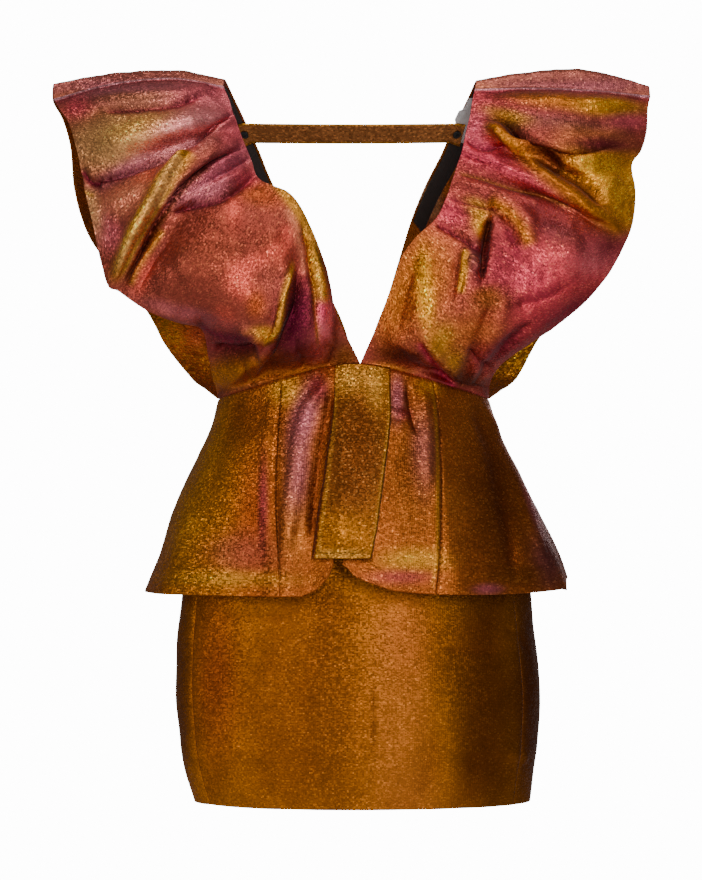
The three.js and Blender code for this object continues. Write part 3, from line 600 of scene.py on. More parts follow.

# %% [markdown]
# ## Shot lame: colour, with painted light and shade
# The cloth is woven gold one way and rose the other, so every fold shows another mixture: a gold highlight on a
# crest, rose beside it, wine shade in the depth. A shader that turned colour with the eye would do it in one view
# and be lost in the others. So the mixture is airbrushed on instead, with the folds' highlights and shade painted
# into it: soft patches of named tones, laid one over another, stored on the mesh as a colour at each point.


# %% Tones
VIVID = 1.13  # metal thread is more saturated than the eye's average of it
BRIGHT = 1.08


def tone(red, green, blue):
    s = np.array([red, green, blue]) / 255
    light = np.where(s <= 0.04045, s / 12.92, ((s + 0.055) / 1.055) ** 2.4)
    grey = light @ np.array([0.21, 0.72, 0.07])
    return np.clip(np.maximum(grey + (light - grey) * VIVID, 0.5 * light) * BRIGHT, 0.003, 1)


# Each tone has a fourth number, its glint: how strongly the metal strips show in it.
TONES = {
    "gold": (*tone(204, 144, 62), 1.05),
    "bright gold": (*tone(228, 160, 50), 1.2),
    "sunny gold": (*tone(248, 168, 66), 1.1),
    "orange gold": (*tone(192, 114, 44), 1.0),
    "beige gold": (*tone(230, 174, 118), 0.7),
    "ochre": (*tone(178, 112, 22), 0.7),
    "dark ochre": (*tone(152, 86, 16), 0.6),
    "copper": (*tone(174, 104, 56), 0.75),
    "copper brown": (*tone(164, 90, 50), 0.8),
    "red brown": (*tone(150, 74, 62), 0.4),
    "dark red": (*tone(142, 66, 54), 0.45),
    "rust": (*tone(168, 80, 38), 0.65),
    "rose brown": (*tone(172, 78, 72), 0.7),
    "salmon": (*tone(222, 98, 84), 0.8),
    "lit salmon": (*tone(250, 142, 112), 0.75),
    "lit mauve": (*tone(236, 144, 144), 0.65),
    "lit pink": (*tone(244, 118, 124), 0.8),
    "pink": (*tone(218, 98, 110), 0.75),
    "rose": (*tone(206, 76, 92), 0.85),
    "dark rose": (*tone(158, 62, 68), 0.75),
    "rose red": (*tone(226, 84, 92), 0.95),
    "mauve": (*tone(176, 98, 108), 0.6),
    "pink mauve": (*tone(198, 100, 116), 0.65),
    "magenta": (*tone(216, 62, 100), 0.8),
    "wine": (*tone(128, 42, 56), 0.5),
    "purple": (*tone(104, 32, 50), 0.35),
    "plum": (*tone(102, 54, 58), 0.5),
    "brown": (*tone(116, 66, 30), 0.7),
    "deep brown": (*tone(98, 52, 14), 0.6),
    "dark brown": (*tone(82, 42, 22), 0.5),
    "olive": (*tone(150, 108, 48), 0.9),
    "pale": (*tone(206, 158, 164), 0.5),
    "tan": (*tone(196, 150, 112), 0.7),
}
TONES = {name: np.array(value) for name, value in TONES.items()}


def ground(name, like):
    return np.broadcast_to(TONES[name], like.shape + (4,))


PATCH = "x z wide high tilt tone strength"
STREAK = "line width tone strength"


def airbrush(colour, x, z, patches):
    """Soft tilted ovals of tone, each over the last. Above 0 degrees, an oval's left end is the lower one."""
    for patch in patches:
        tilt = math.radians(patch["tilt"])
        right, up = x - patch["x"], z - patch["z"]
        along = right * math.cos(tilt) + up * math.sin(tilt)
        over = up * math.cos(tilt) - right * math.sin(tilt)
        reach = (along / patch["wide"]) ** 2 + (over / patch["high"]) ** 2
        share = patch["strength"] * np.exp(-(reach**1.3))
        colour = mix(colour, TONES[patch["tone"]], share[..., None])
    return colour


def streaks(colour, x, z, lines):
    """Streaks of tone along a fold or a stitched edge, most of them a painted highlight on a crest or a painted
    shadow in a crease.
    """
    for streak in lines:
        gap, where = gap_to(streak["line"], x, z)
        ends = smooth(where, 0, 0.12) * smooth(1 - where, 0, 0.12)
        share = streak["strength"] * ends * band(gap, 0, streak["width"])
        colour = mix(colour, TONES[streak["tone"]], share[..., None])
    return colour


print(len(TONES), "tones")

# %% [markdown]
# ## From a grid to a piece of cloth
# A real panel has two faces and an edge. The mesh gets the same: the outer face, the inner face, and between
# them a rim with one more line of points, so that smooth shading rounds the edge as a turned edge is rounded.
# Everything goes into the mesh as whole arrays, which is far quicker than adding one vertex at a time.


# %% Cloth from a grid
def wall_faces(rows, columns):
    index = np.arange(rows * columns).reshape(rows, columns)
    a, b, c, d = index[:-1, :-1], index[1:, :-1], index[1:, 1:], index[:-1, 1:]
    outer = np.stack([a, b, c, d], -1).reshape(-1, 4)
    inner = np.stack([a, d, c, b], -1).reshape(-1, 4) + rows * columns
    border = np.concatenate([index[:, 0], index[-1, 1:], index[-2::-1, -1], index[0, -2:0:-1]])
    following = np.roll(border, -1)
    rim = 2 * rows * columns + np.arange(len(border))
    next_rim = np.roll(rim, -1)
    upper = np.stack([border, rim, next_rim, following], -1)
    lower = np.stack([rim, border + rows * columns, following + rows * columns, next_rim], -1)
    return np.concatenate([outer, inner, upper, lower]), border


DEEPEST = 7  # the depth of a trough, and the height of a crest, at which the painted shade of the one and the painted highlight of the other are full
HIGHEST = 8
# Painted light on the folds: a trough is darkened, a crest brightened towards gold, and a slope lighter where it
# faces up and left and darker where it faces away.
TROUGH_SHADE = np.array([0.42, 0.26, 0.4, 0.7])  # red, green, blue and glint, here and below
CREST_HIGHLIGHT = np.array([0.25, 0.2, 0.25, 0.1])
SLOPE_SHADE = np.array([0.35, 0.38, 0.25, 0.2])
UP_AND_LEFT = np.array([-0.35, 0, 1.0])
STEEPEST = 0.6
INNER_SHADE = 0.85  # the inside of the cloth is a little darker
RIM_ROUND = 0.35  # how far the rim stands past the edge, as a share of the cloth's thickness


def shot(colour, rise, lean):
    """Painted highlight and shade: gold on a crest and lighter on slopes that face up and left, wine and darker
    in a trough and on slopes that face down and right.
    """
    depth = np.clip(-rise / DEEPEST, 0, 1)[..., None] ** 0.8
    height = np.clip(rise / HIGHEST, 0, 1)[..., None]
    colour = mix(colour, colour * TROUGH_SHADE, 0.8 * depth)
    colour = mix(colour, colour + TONES["gold"] * CREST_HIGHLIGHT, 0.3 * height)
    slope = np.clip((lean @ UP_AND_LEFT)[..., None], -STEEPEST, STEEPEST)
    return np.clip(colour * (1 + slope * SLOPE_SHADE), 0.003, 1.3)


def make_cloth(name, points, normals, thick, colour=None):
    """A closed wall of cloth on a grid of points in mm, with its tone and its own weave coordinates."""
    rows, columns = points.shape[:2]
    outer = points + normals * thick / 2
    inner = points - normals * thick / 2
    faces, border = wall_faces(rows, columns)
    beside = points.copy()
    beside[0], beside[-1] = points[1], points[-2]
    beside[:, 0], beside[:, -1] = points[:, 1], points[:, -2]
    away = points.reshape(-1, 3)[border] - beside.reshape(-1, 3)[border]
    away /= np.maximum(np.linalg.norm(away, axis=-1, keepdims=True), 1e-9)
    rim = points.reshape(-1, 3)[border] + away * RIM_ROUND * thick
    corners = np.concatenate([outer.reshape(-1, 3), inner.reshape(-1, 3), rim])
    across = np.cross(points[1, 0] - points[0, 0], points[0, 1] - points[0, 0])
    if across @ normals[0, 0] < 0:
        faces = faces[:, ::-1]
    mesh = bpy.data.meshes.new(name)
    mesh.vertices.add(len(corners))
    mesh.vertices.foreach_set("co", (corners * MM).ravel())
    mesh.loops.add(faces.size)
    mesh.loops.foreach_set("vertex_index", faces.ravel().astype(np.int32))
    mesh.polygons.add(len(faces))
    mesh.polygons.foreach_set("loop_start", np.arange(0, faces.size, 4, dtype=np.int32))
    mesh.polygons.foreach_set("use_smooth", np.ones(len(faces), bool))
    down, wide = lengths(points)
    along = np.linalg.norm(np.diff(points, axis=1, prepend=points[:, :1]), axis=-1).mean(0).cumsum()
    below = np.linalg.norm(np.diff(points, axis=0, prepend=points[:1]), axis=-1).mean(1).cumsum()
    u = along[None, :] * MM + np.zeros((rows, 1))
    v = below[:, None] * MM + np.zeros((1, columns))
    weave = np.stack([u, v], -1).reshape(-1, 2)
    weave = np.concatenate([weave, weave, weave[border]])
    layer = mesh.uv_layers.new(name="weave")
    layer.data.foreach_set("uv", weave[faces.ravel()].astype(np.float32).ravel())
    if colour is not None:
        flat = colour.reshape(-1, colour.shape[-1])
        shades = np.concatenate([flat, flat * INNER_SHADE, flat[border]])
        paint = mesh.color_attributes.new("tone", "FLOAT_COLOR", "POINT")
        paint.data.foreach_set("color", shades.astype(np.float32).ravel())
    mesh.update(calc_edges=True)
    piece = bpy.data.objects.new(name, mesh)
    bpy.context.scene.collection.objects.link(piece)
    area = sum(p.area for p in mesh.polygons) / 2
    print(f"{name}: {down:.0f} mm down, {wide:.0f} mm across, {area:.4f} m2, {2 * len(faces)} triangles")
    return piece


def put_on(piece, node):
    """Hands a finished piece to the frame and hides the solid it stands for."""
    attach(piece, "root")
    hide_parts(node)


print("faces of a 3 by 3 grid:", len(wall_faces(3, 3)[0]))

# %% [markdown]
# ## The lame's finish
# Close to, lame is a ground of coloured thread with flat metal strips woven through it. Each strip throws its
# own spark. The recipe has three parts. A lattice along the weave, about a millimetre and a half to a cell, tilts
# the surface a little, cell by cell, so that each catches a different part of the room. The same cells make a
# few strips much brighter. Fine lines along both threads keep it a woven cloth. The metal's edge tint is dark,
# because real lame dims at a glancing angle, where the dull thread hides the strips.


# %% Node helpers
def new_finish(name):
    finish = bpy.data.materials.new(name)
    finish.use_nodes = True
    tree = finish.node_tree
    shader = tree.nodes["Principled BSDF"]
    return finish, tree, shader


def node(tree, kind, inputs=None, **settings):
    made = tree.nodes.new(kind)
    for key, value in settings.items():
        setattr(made, key, value)
    for key, value in (inputs or {}).items():
        if hasattr(value, "is_output"):
            tree.links.new(value, made.inputs[key])
        else:
            made.inputs[key].default_value = value
    return made


def maths(tree, operation, a, b=0.0):
    return node(tree, "ShaderNodeMath", {0: a, 1: b}, operation=operation).outputs[0]


def vectors(tree, operation, a, b=(0, 0, 0)):
    return node(tree, "ShaderNodeVectorMath", {0: a, 1: b}, operation=operation).outputs[0]


def ramp(tree, value, stops):
    made = node(tree, "ShaderNodeValToRGB", {0: value})
    colours = made.color_ramp.elements
    while len(colours) < len(stops):
        colours.new(0.5)
    for element, (place, grey) in zip(colours, stops):
        element.position = place
        element.color = (grey, grey, grey, 1)
    return made.outputs[0]


print("helpers ready")


# %% Lame finish
WARP = 0.0021  # from thread to thread, in metres
WEFT = 0.0026


def lame_finish(name, metal, rough, glitter, strip_long, strip_high):
    finish, tree, shader = new_finish(name)
    where = node(tree, "ShaderNodeTexCoord").outputs["Object"]
    paint = node(tree, "ShaderNodeAttribute", attribute_name="tone").outputs
    base, glint = paint["Color"], paint["Alpha"]
    weave = node(tree, "ShaderNodeUVMap", uv_map="weave").outputs[0]
    lattice = vectors(tree, "MULTIPLY", weave, (1 / strip_long, 1 / strip_high, 1))
    lattice = vectors(tree, "FLOOR", lattice)
    cells = node(tree, "ShaderNodeTexWhiteNoise", {"Vector": lattice})
    fine = node(tree, "ShaderNodeTexVoronoi", {"Vector": where, "Scale": 1500.0})
    cloud = node(tree, "ShaderNodeTexNoise", {"Vector": where, "Scale": 55.0, "Detail": 3.0})
    chance = node(tree, "ShaderNodeSeparateColor", {0: cells.outputs["Color"]}).outputs
    chance_fine = node(tree, "ShaderNodeSeparateColor", {0: fine.outputs["Color"]}).outputs
    grain = ramp(tree, chance[0], [(0.0, 0.55), (0.45, 0.85), (0.8, 1.1), (0.95, 1.45)])
    grain_fine = ramp(tree, chance_fine[0], [(0.0, 0.7), (0.5, 0.95), (0.9, 1.25)])
    level = maths(tree, "MULTIPLY", grain, grain_fine)
    split = node(tree, "ShaderNodeSeparateXYZ", {0: weave}).outputs
    warp = maths(tree, "SINE", maths(tree, "MULTIPLY", split[0], 2 * math.pi / WARP))
    weft = maths(tree, "SINE", maths(tree, "MULTIPLY", split[1], 2 * math.pi / WEFT))
    threads = maths(tree, "ADD", warp, weft)
    lined = maths(tree, "ADD", maths(tree, "MULTIPLY", threads, 0.035), 1.0)
    patchy = ramp(tree, cloud.outputs[0], [(0.3, 0.88), (0.7, 1.1)])
    level = maths(tree, "MULTIPLY", level, lined)
    level = node(tree, "ShaderNodeMix", {0: glint, 2: 1.0, 3: level}, clamp_factor=False).outputs[0]
    level = maths(tree, "MULTIPLY", level, patchy)
    shaded = vectors(tree, "MULTIPLY", base, level)
    spark = maths(tree, "MULTIPLY", maths(tree, "GREATER_THAN", chance[1], 1 - glitter), glint)
    brighter = {0: shaded, 1: (1.9, 1.95, 1.8), 2: (0.1, 0.05, 0.015)}
    strip = node(tree, "ShaderNodeVectorMath", brighter, operation="MULTIPLY_ADD").outputs[0]
    lit = node(tree, "ShaderNodeMix", {0: spark, 6: shaded, 7: strip}, data_type="RGBA").outputs[2]
    tree.links.new(lit, shader.inputs["Base Color"])

    dull = ramp(tree, chance[2], [(0.0, rough - 0.1), (1.0, rough + 0.14)])
    tree.links.new(dull, shader.inputs["Roughness"])
    shader.inputs["Metallic"].default_value = metal
    shader.inputs["Specular IOR Level"].default_value = 0.25
    shader.inputs["Specular Tint"].default_value = (0.5, 0.42, 0.42, 1)
    shader.inputs["Sheen Weight"].default_value = 0.04
    shader.inputs["Sheen Roughness"].default_value = 0.4

    outside = node(tree, "ShaderNodeNewGeometry").outputs["Normal"]
    lean = vectors(tree, "SUBTRACT", cells.outputs["Color"], (0.5, 0.5, 0.5))
    lean = node(tree, "ShaderNodeVectorMath", {0: lean, "Scale": 0.4}, operation="SCALE").outputs[0]
    tilted = vectors(tree, "NORMALIZE", vectors(tree, "ADD", outside, lean))
    height = maths(tree, "ADD", maths(tree, "MULTIPLY", threads, 0.25), fine.outputs["Distance"])
    relief = {"Strength": 0.25, "Distance": 0.0004, "Height": height, "Normal": tilted}
    bump = node(tree, "ShaderNodeBump", relief)
    tree.links.new(bump.outputs[0], shader.inputs["Normal"])
    return finish


LAME = lame_finish("shot lame", 0.85, 0.4, glitter=0.09, strip_long=0.0018, strip_high=0.0013)
STRAP_LAME = lame_finish("strap lame", 0.8, 0.42, glitter=0.16, strip_long=0.0022, strip_high=0.0016)
print("finishes:", LAME.name, "and", STRAP_LAME.name)

# %% [markdown]
# ## Bodice fronts
# The two fronts carry most of what the eye sees. Their mesh is fine enough for a crease of three millimetres.
# The order matters: first the surface through the ribs, then the pressed folds, then the faint waves, and last
# the airbrushed tones with their painted highlights and shade, placed where the folds now are.

# %% Panel maker
SIDE_SEAM = math.pi / 2 - 0.008
V_ANGLE = math.asin((V_POINT_X - WAIST_X) / WAIST_HALF)
PARTED = 0.3 / WAIST_HALF * 0.6  # half the gap between two panels, as an angle
TURN_WIDTH = 1.3  # how wide a turned edge is, and how far it dips
EDGE_DIP = 0.8
SEAM_OPEN = 0.15  # how far a panel draws back from a seam, and from the waist seam
WAIST_OPEN = 0.22
CORD_HIGH = 1.3  # the raised line along the shoulder seam
CORD_LINE = (1.8, 1.5)  # how far from the seam a line lies and how wide it is
# the painted highlight on the turned top edge and the painted shadow below its raised line: how far down and how
# wide
EDGE_HIGHLIGHT_LINE = (1.6, 1.6)
EDGE_SHADOW_LINE = (6.5, 2.6)
BODICE_WAVES = (30, 70, 18, 0.5)  # how many waves, the longest, the shortest and the height
CRUMPLE_HEIGHT = 0.4


def turned_edge(free, amount):
    """A seam's turned edge dips inward over its last two millimetres. free is 0 at the edges."""
    return -amount * band(free, 0, TURN_WIDTH)


def edge_distance(points, sides):
    """Distance in mm from the named edges: top, bottom, first, last."""
    rows, columns = points.shape[:2]
    down = np.cumsum(np.linalg.norm(np.diff(points, axis=0, prepend=points[:1]), axis=-1), axis=0)
    across = np.cumsum(np.linalg.norm(np.diff(points, axis=1, prepend=points[:, :1]), axis=-1), axis=1)
    far = {"top": down, "bottom": down[-1:] - down, "first": across, "last": across[:, -1:] - across}
    return np.minimum.reduce([far[side] for side in sides])


def draw_back(points, edge, gap):
    """Leaves the open line of a seam between this panel's top or bottom edge and the next panel."""
    moved = points.copy()
    outer, inner = {"top": (0, 1), "bottom": (-1, -2)}[edge]
    pull = points[inner] - points[outer]
    moved[outer] = points[outer] + pull / np.linalg.norm(pull, axis=-1, keepdims=True) * gap
    return moved


def as_seen(points):
    """Where points show in the photograph, taken from four metres away. The folds are drawn there."""
    nearer = CAMERA_AWAY / (CAMERA_AWAY + points[..., 1])
    x = (points[..., 0] - CAMERA_X) * nearer + CAMERA_X
    z = (points[..., 2] - CAMERA_Z) * nearer + CAMERA_Z
    return x, z


def bodice(name, ribs, large, folds, waist_from, waist_to, facing, fades, seed, paint, grid):
    base = bodice_surface(ribs, large, waist_from, waist_to, facing, *grid)
    normals = outward(base, facing)
    x, z = as_seen(base)
    free = edge_fade(base, *fades)
    pressed = fold_rise(folds, x, z) + waves(base, *BODICE_WAVES, seed)
    rise = free * (pressed - crumple(base, CRUMPLE_HEIGHT, seed))
    seam = turned_edge(edge_distance(base, ("top", "bottom")), EDGE_DIP)
    colour = paint(x, z)
    if facing is FRONT:
        below = edge_distance(base, ("top",))
        seam += CORD_HIGH * band(below, *CORD_LINE)
        # A painted shadow below the raised line and a painted highlight on the turned edge.
        colour = mix(colour, TONES["wine"], 0.55 * band(below, *EDGE_SHADOW_LINE)[..., None])
        colour = mix(colour, TONES["pale"], 0.75 * band(below, *EDGE_HIGHLIGHT_LINE)[..., None])
    points = base + normals * (rise + seam)[..., None]
    points = draw_back(draw_back(points, "top", SEAM_OPEN), "bottom", WAIST_OPEN)
    # Painted shade in the folds' troughs and painted highlights on their crests and lit slopes.
    colour = shot(colour, rise, outward(points, facing) - normals)
    piece = make_cloth(name, points, outward(points, facing), CLOTH, colour)
    piece.data.materials.append(LAME)
    return piece, base, normals


print("side seams at", round(math.degrees(SIDE_SEAM), 1), "degrees")

# %% Tones of the left front
# Most of these patches paint light and shade into the left front: salmon, pink, mauve and gold highlights where
# folds face the lamps, and purple and wine shade in the valleys and hollows.
LEFT_PATCHES = table(PATCH, [
    (-150, -165, 60, 60, 10, "dark red", 0.55), (-138, -145, 24, 44, 0, "dark red", 0.75),
    (-121, -120, 8, 22, 0, "salmon", 0.75), (-98, -104, 28, 14, -20, "rust", 0.7),
    (-94, -150, 24, 24, -20, "dark red", 0.7), (-115, -194, 12, 18, 15, "salmon", 0.95),
    (-72, -160, 8, 18, -10, "salmon", 0.7), (-99, -216, 10, 14, 0, "rust", 0.7),
    (-165, -226, 48, 8, -15, "mauve", 0.5), (-130, -228, 12, 12, 0, "salmon", 0.5),
    (-212, -186, 8, 20, -15, "salmon", 0.95), (-55, -176, 12, 26, -8, "salmon", 0.6),
    (-58, -232, 22, 54, -14, "purple", 1.0), (-92, -246, 14, 8, 0, "bright gold", 0.8),
    (-118, -256, 32, 13, -4, "wine", 0.9), (-122, -286, 50, 15, 8, "ochre", 0.95),
    (-50, -284, 44, 10, 10, "dark ochre", 0.9), (-31, -232, 8, 30, -14, "lit pink", 0.95),
    (-34, -222, 5, 20, -14, "magenta", 0.6), (-10, -268, 13, 14, 0, "brown", 0.8),
    (-210, -5, 96, 11, 2, "mauve", 0.8), (-145, -16, 40, 20, 0, "pink", 0.85),
    (-222, -10, 44, 5, 3, "brown", 0.6), (-276, -22, 14, 12, 0, "rose", 0.7),
    (-230, -50, 60, 28, 12, "beige gold", 0.95), (-216, -40, 34, 11, 14, "sunny gold", 0.45),
    (-168, -42, 50, 19, 28, "lit mauve", 0.95), (-222, -78, 46, 10, 30, "mauve", 0.8),
    (-232, -112, 40, 15, 32, "lit salmon", 0.95), (-250, -142, 15, 24, 40, "lit pink", 0.9),
    (-262, -126, 10, 26, 10, "beige gold", 0.7), (-150, -100, 44, 13, 20, "mauve", 0.85),
    (-122, -40, 18, 26, 0, "pink", 0.75), (-176, -50, 36, 8, 28, "lit mauve", 0.6),
    (-128, -76, 34, 12, 30, "pink mauve", 0.85), (-110, -90, 16, 10, 10, "rose", 0.7),
])
# Streaks painted along the folds: a bright gold highlight on the gold ridge with an olive shaded side, dark
# brown, purple and wine shadows under it, in the hollow and in the tucks, and salmon and gold highlights beside
# the V.
LEFT_STREAKS = table(STREAK, [
    ([(-245, -200), (-223, -150), (-205, -118), (-186, -92), (-172, -74), (-163, -62)],
     6.5, "bright gold", 0.95),
    ([(-241, -190), (-218, -148), (-200, -116), (-182, -88), (-168, -70)], 4, "beige gold", 0.6),
    ([(-236, -192), (-214, -148), (-196, -118), (-178, -92)], 2.2, "olive", 0.8),
    ([(-237, -206), (-203, -150), (-168, -100), (-138, -74)], 3, "dark brown", 0.8),
    ([(-160, -232), (-138, -246), (-114, -250), (-96, -246)], 4, "purple", 0.8),
    ([(-225, -200), (-209, -169), (-190, -140)], 3, "gold", 0.6),
    ([(-268, -94), (-252, -94), (-219, -85), (-171, -64), (-133, -35)], 1.8, "wine", 0.9),
    ([(-273, -80), (-268, -92), (-260, -96), (-252, -92)], 3.2, "wine", 0.95),
    ([(-278, -92), (-272, -103), (-259, -109)], 2, "gold", 0.7),
    ([(-185, -127), (-161, -118), (-138, -112), (-100, -92)], 2.2, "wine", 0.7),
    ([(-62, -134), (-72, -154), (-86, -168), (-110, -180), (-124, -206)], 7, "salmon", 0.8),
    ([(-70, -118), (-60, -136), (-54, -160), (-48, -190)], 5, "lit salmon", 0.7),
    ([(-62, -170), (-71, -207), (-77, -241), (-93, -257)], 3, "gold", 0.85),
    ([(-53, -139), (-46, -162), (-40, -200), (-37, -263)], 2.2, "bright gold", 0.85),
    ([(-86, -88), (-70, -106), (-50, -140), (-36, -192), (-30, -220)], 5, "gold", 0.85),
    ([(-76, -92), (-58, -114), (-42, -150), (-34, -190)], 3, "olive", 0.8),
    ([(-256, -24), (-218, -21), (-182, -17), (-150, -8)], 2.5, "wine", 0.8),
])


def paint_left(x, z):
    colour = ground("red brown", x)
    return streaks(airbrush(colour, x, z, LEFT_PATCHES), x, z, LEFT_STREAKS)


print(len(LEFT_PATCHES), "patches and", len(LEFT_STREAKS), "streaks")

# %% Tones of the right front
# As on the left, these patches paint light and shade with the tones: rose, pink and sunny gold highlights on the
# swell and the gold shelf, and wine, plum and deep brown shade in the valleys and under the pleats.
RIGHT_PATCHES = table(PATCH, [
    (175, -190, 50, 50, 20, "rose", 0.8), (232, -176, 40, 26, 20, "rose red", 0.95),
    (244, -168, 30, 18, 20, "lit pink", 0.95), (172, -226, 26, 22, 20, "rose red", 0.6),
    (150, -190, 12, 34, 10, "wine", 0.6), (255, -157, 16, 14, 0, "wine", 0.7),
    (215, -222, 60, 9, 30, "wine", 0.9), (65, -190, 38, 60, -10, "orange gold", 0.85),
    (71, -204, 8, 40, 5, "bright gold", 0.85), (38, -225, 20, 40, -15, "orange gold", 0.7),
    (135, -212, 26, 14, 10, "brown", 0.85), (115, -244, 38, 20, 15, "orange gold", 0.6),
    (85, -254, 12, 20, -20, "gold", 0.8), (100, -274, 13, 14, 0, "gold", 0.8),
    (45, -267, 32, 9, -5, "dark brown", 0.8), (35, -280, 26, 6, -8, "ochre", 0.7),
    (145, -259, 34, 12, 30, "wine", 0.85), (207, 4, 120, 10, -1, "mauve", 0.9),
    (135, -16, 32, 12, 0, "rose", 0.85), (160, -8, 46, 6, 0, "wine", 0.9),
    (202, -14, 52, 8, -4, "orange gold", 0.85), (254, -20, 34, 9, -2, "bright gold", 0.9),
    (272, -34, 22, 9, 0, "pink", 0.8), (200, -35, 66, 11, -6, "plum", 0.85),
    (150, -28, 24, 8, -15, "gold", 0.8), (123, -40, 13, 17, 0, "pink", 0.9),
    (128, -64, 38, 17, -8, "rose", 0.9), (122, -48, 16, 12, 0, "pink", 0.6),
    (250, -86, 50, 30, -22, "bright gold", 1.0), (268, -104, 26, 34, -20, "sunny gold", 0.9),
    (246, -76, 22, 10, -20, "sunny gold", 0.8), (186, -64, 34, 10, -36, "deep brown", 0.95),
    (247, -57, 38, 7, -3, "wine", 0.9), (264, -128, 20, 12, -30, "sunny gold", 0.7),
    (226, -96, 20, 6, -36, "brown", 0.6), (110, -292, 28, 9, -6, "dark brown", 0.8),
    (175, -92, 56, 8, -24, "rose", 0.8), (135, -103, 48, 10, -6, "rose brown", 0.8),
    (182, -114, 38, 12, -14, "wine", 0.35), (206, -146, 30, 14, -30, "plum", 0.7),
    (152, -184, 12, 40, 14, "dark rose", 0.6), (122, -119, 16, 8, -20, "gold", 0.8),
    (124, -132, 9, 16, 10, "gold", 0.9), (126, -140, 4, 10, 0, "bright gold", 0.8),
    (95, -127, 18, 17, 0, "rose", 0.85), (119, -170, 8, 18, 0, "plum", 0.85),
    (128, -205, 16, 8, 10, "deep brown", 0.7),
])
# Streaks painted along the folds: ochre and gold highlights on the long ridge, the shelf and the curved and short
# ridges, and dark brown, olive and wine shadows in the valley, the pinch and the pleats.
RIGHT_STREAKS = table(STREAK, [
    ([(124, -34), (150, -48), (184, -82), (223, -112), (250, -130), (272, -149)], 8, "ochre", 0.9),
    ([(150, -51), (184, -87), (223, -116), (250, -134)], 3, "dark ochre", 0.5),
    ([(206, -76), (226, -90), (246, -108)], 7, "ochre", 0.8),
    ([(150, -34), (185, -62), (224, -92), (252, -116)], 4, "dark brown", 0.55),
    ([(130, -113), (150, -122), (166, -138), (177, -162)], 7, "orange gold", 0.9),
    ([(150, -140), (158, -154), (162, -172)], 5, "wine", 0.7),
    ([(111, -160), (109, -186), (105, -207)], 3.5, "bright gold", 0.85),
    ([(63, -251), (80, -280), (102, -302)], 4, "magenta", 0.6),
    ([(134, -126), (131, -155), (127, -196)], 2, "dark brown", 0.85),
    ([(100, -85), (125, -89), (158, -100), (186, -108), (223, -125)], 2.2, "olive", 0.6),
    ([(81, -136), (90, -141), (108, -152), (129, -165)], 2.2, "wine", 0.8),
    ([(110, -52), (129, -60), (155, -57)], 1.6, "wine", 0.8),
    ([(92, -110), (120, -118), (147, -124)], 1.6, "wine", 0.7),
    ([(117, -29), (147, -31), (167, -48), (190, -61), (214, -68), (235, -63), (269, -57)],
     2.4, "dark brown", 0.7),
])


def paint_right(x, z):
    colour = ground("rose brown", x)
    return streaks(airbrush(colour, x, z, RIGHT_PATCHES), x, z, RIGHT_STREAKS)


print(len(RIGHT_PATCHES), "patches and", len(RIGHT_STREAKS), "streaks")

# %% Sew the fronts
FRONT_FADES = ((1, 8), (1, 10), (0.5, 7), (0.45, 8))
FRONT_GRID = (200, 168)
front_left, _, _ = bodice(
    "front_left", FRONT_LEFT, LARGE_LEFT, FOLDS_LEFT, V_ANGLE - PARTED, -SIDE_SEAM, FRONT, FRONT_FADES, 3,
    paint_left, FRONT_GRID,
)
front_right, _, _ = bodice(
    "front_right", FRONT_RIGHT, LARGE_RIGHT, FOLDS_RIGHT, V_ANGLE + PARTED, SIDE_SEAM, FRONT, FRONT_FADES, 5,
    paint_right, FRONT_GRID,
)
put_on(front_left, "bodice_front_left")
put_on(front_right, "bodice_front_right")

# %% [markdown]
# ## Bodice backs
# The backs are made the same way. Their neck edges stay flat over the first centimetres, because the black tape
# and the strap's ends are laid there. Their tones are in the same family: ochre and gold at the sides, where the
# photograph lets a little of them show, and rose on the sleeve heads.

# %% Tones of the backs
# As on the fronts, some patches are painted light and shade: a bright gold highlight on the long ridge, gold on
# the back ridge and wine shade in the back valley.
BACK_PATCHES = table(PATCH, [
    (-230, 4, 130, 16, 2, "mauve", 0.85), (-200, 10, 70, 6, 0, "brown", 0.45),
    (-215, -30, 70, 18, 8, "beige gold", 0.8), (-160, -52, 50, 18, 24, "pink mauve", 0.8),
    (-215, -84, 60, 16, 18, "rose", 0.7), (-182, -112, 60, 9, 24, "bright gold", 0.8),
    (-150, -165, 60, 36, 10, "copper brown", 0.8), (-98, -138, 34, 26, 20, "rose brown", 0.8),
    (-86, -190, 14, 60, -10, "wine", 0.75), (-62, -190, 12, 60, -10, "orange gold", 0.8),
    (-205, -215, 36, 60, 30, "ochre", 0.85), (-150, -240, 40, 16, 30, "salmon", 0.5),
    (-120, -275, 60, 16, 6, "ochre", 0.8), (-284, -88, 20, 70, 0, "orange gold", 0.8),
    (-40, -262, 34, 16, 0, "copper", 0.7), (-186, -246, 13, 26, 30, "bright gold", 0.8),
])
BACK_RIGHT_ONLY = table(PATCH, [
    (74, -112, 12, 22, 20, "tan", 0.85), (165, -262, 34, 26, 20, "bright gold", 0.9),
])


def paint_back(side, more=()):
    def paint(x, z):
        colour = ground("copper", x)
        return airbrush(airbrush(colour, side * x, z, BACK_PATCHES), x, z, more)

    return paint


print(len(BACK_PATCHES), "patches behind")

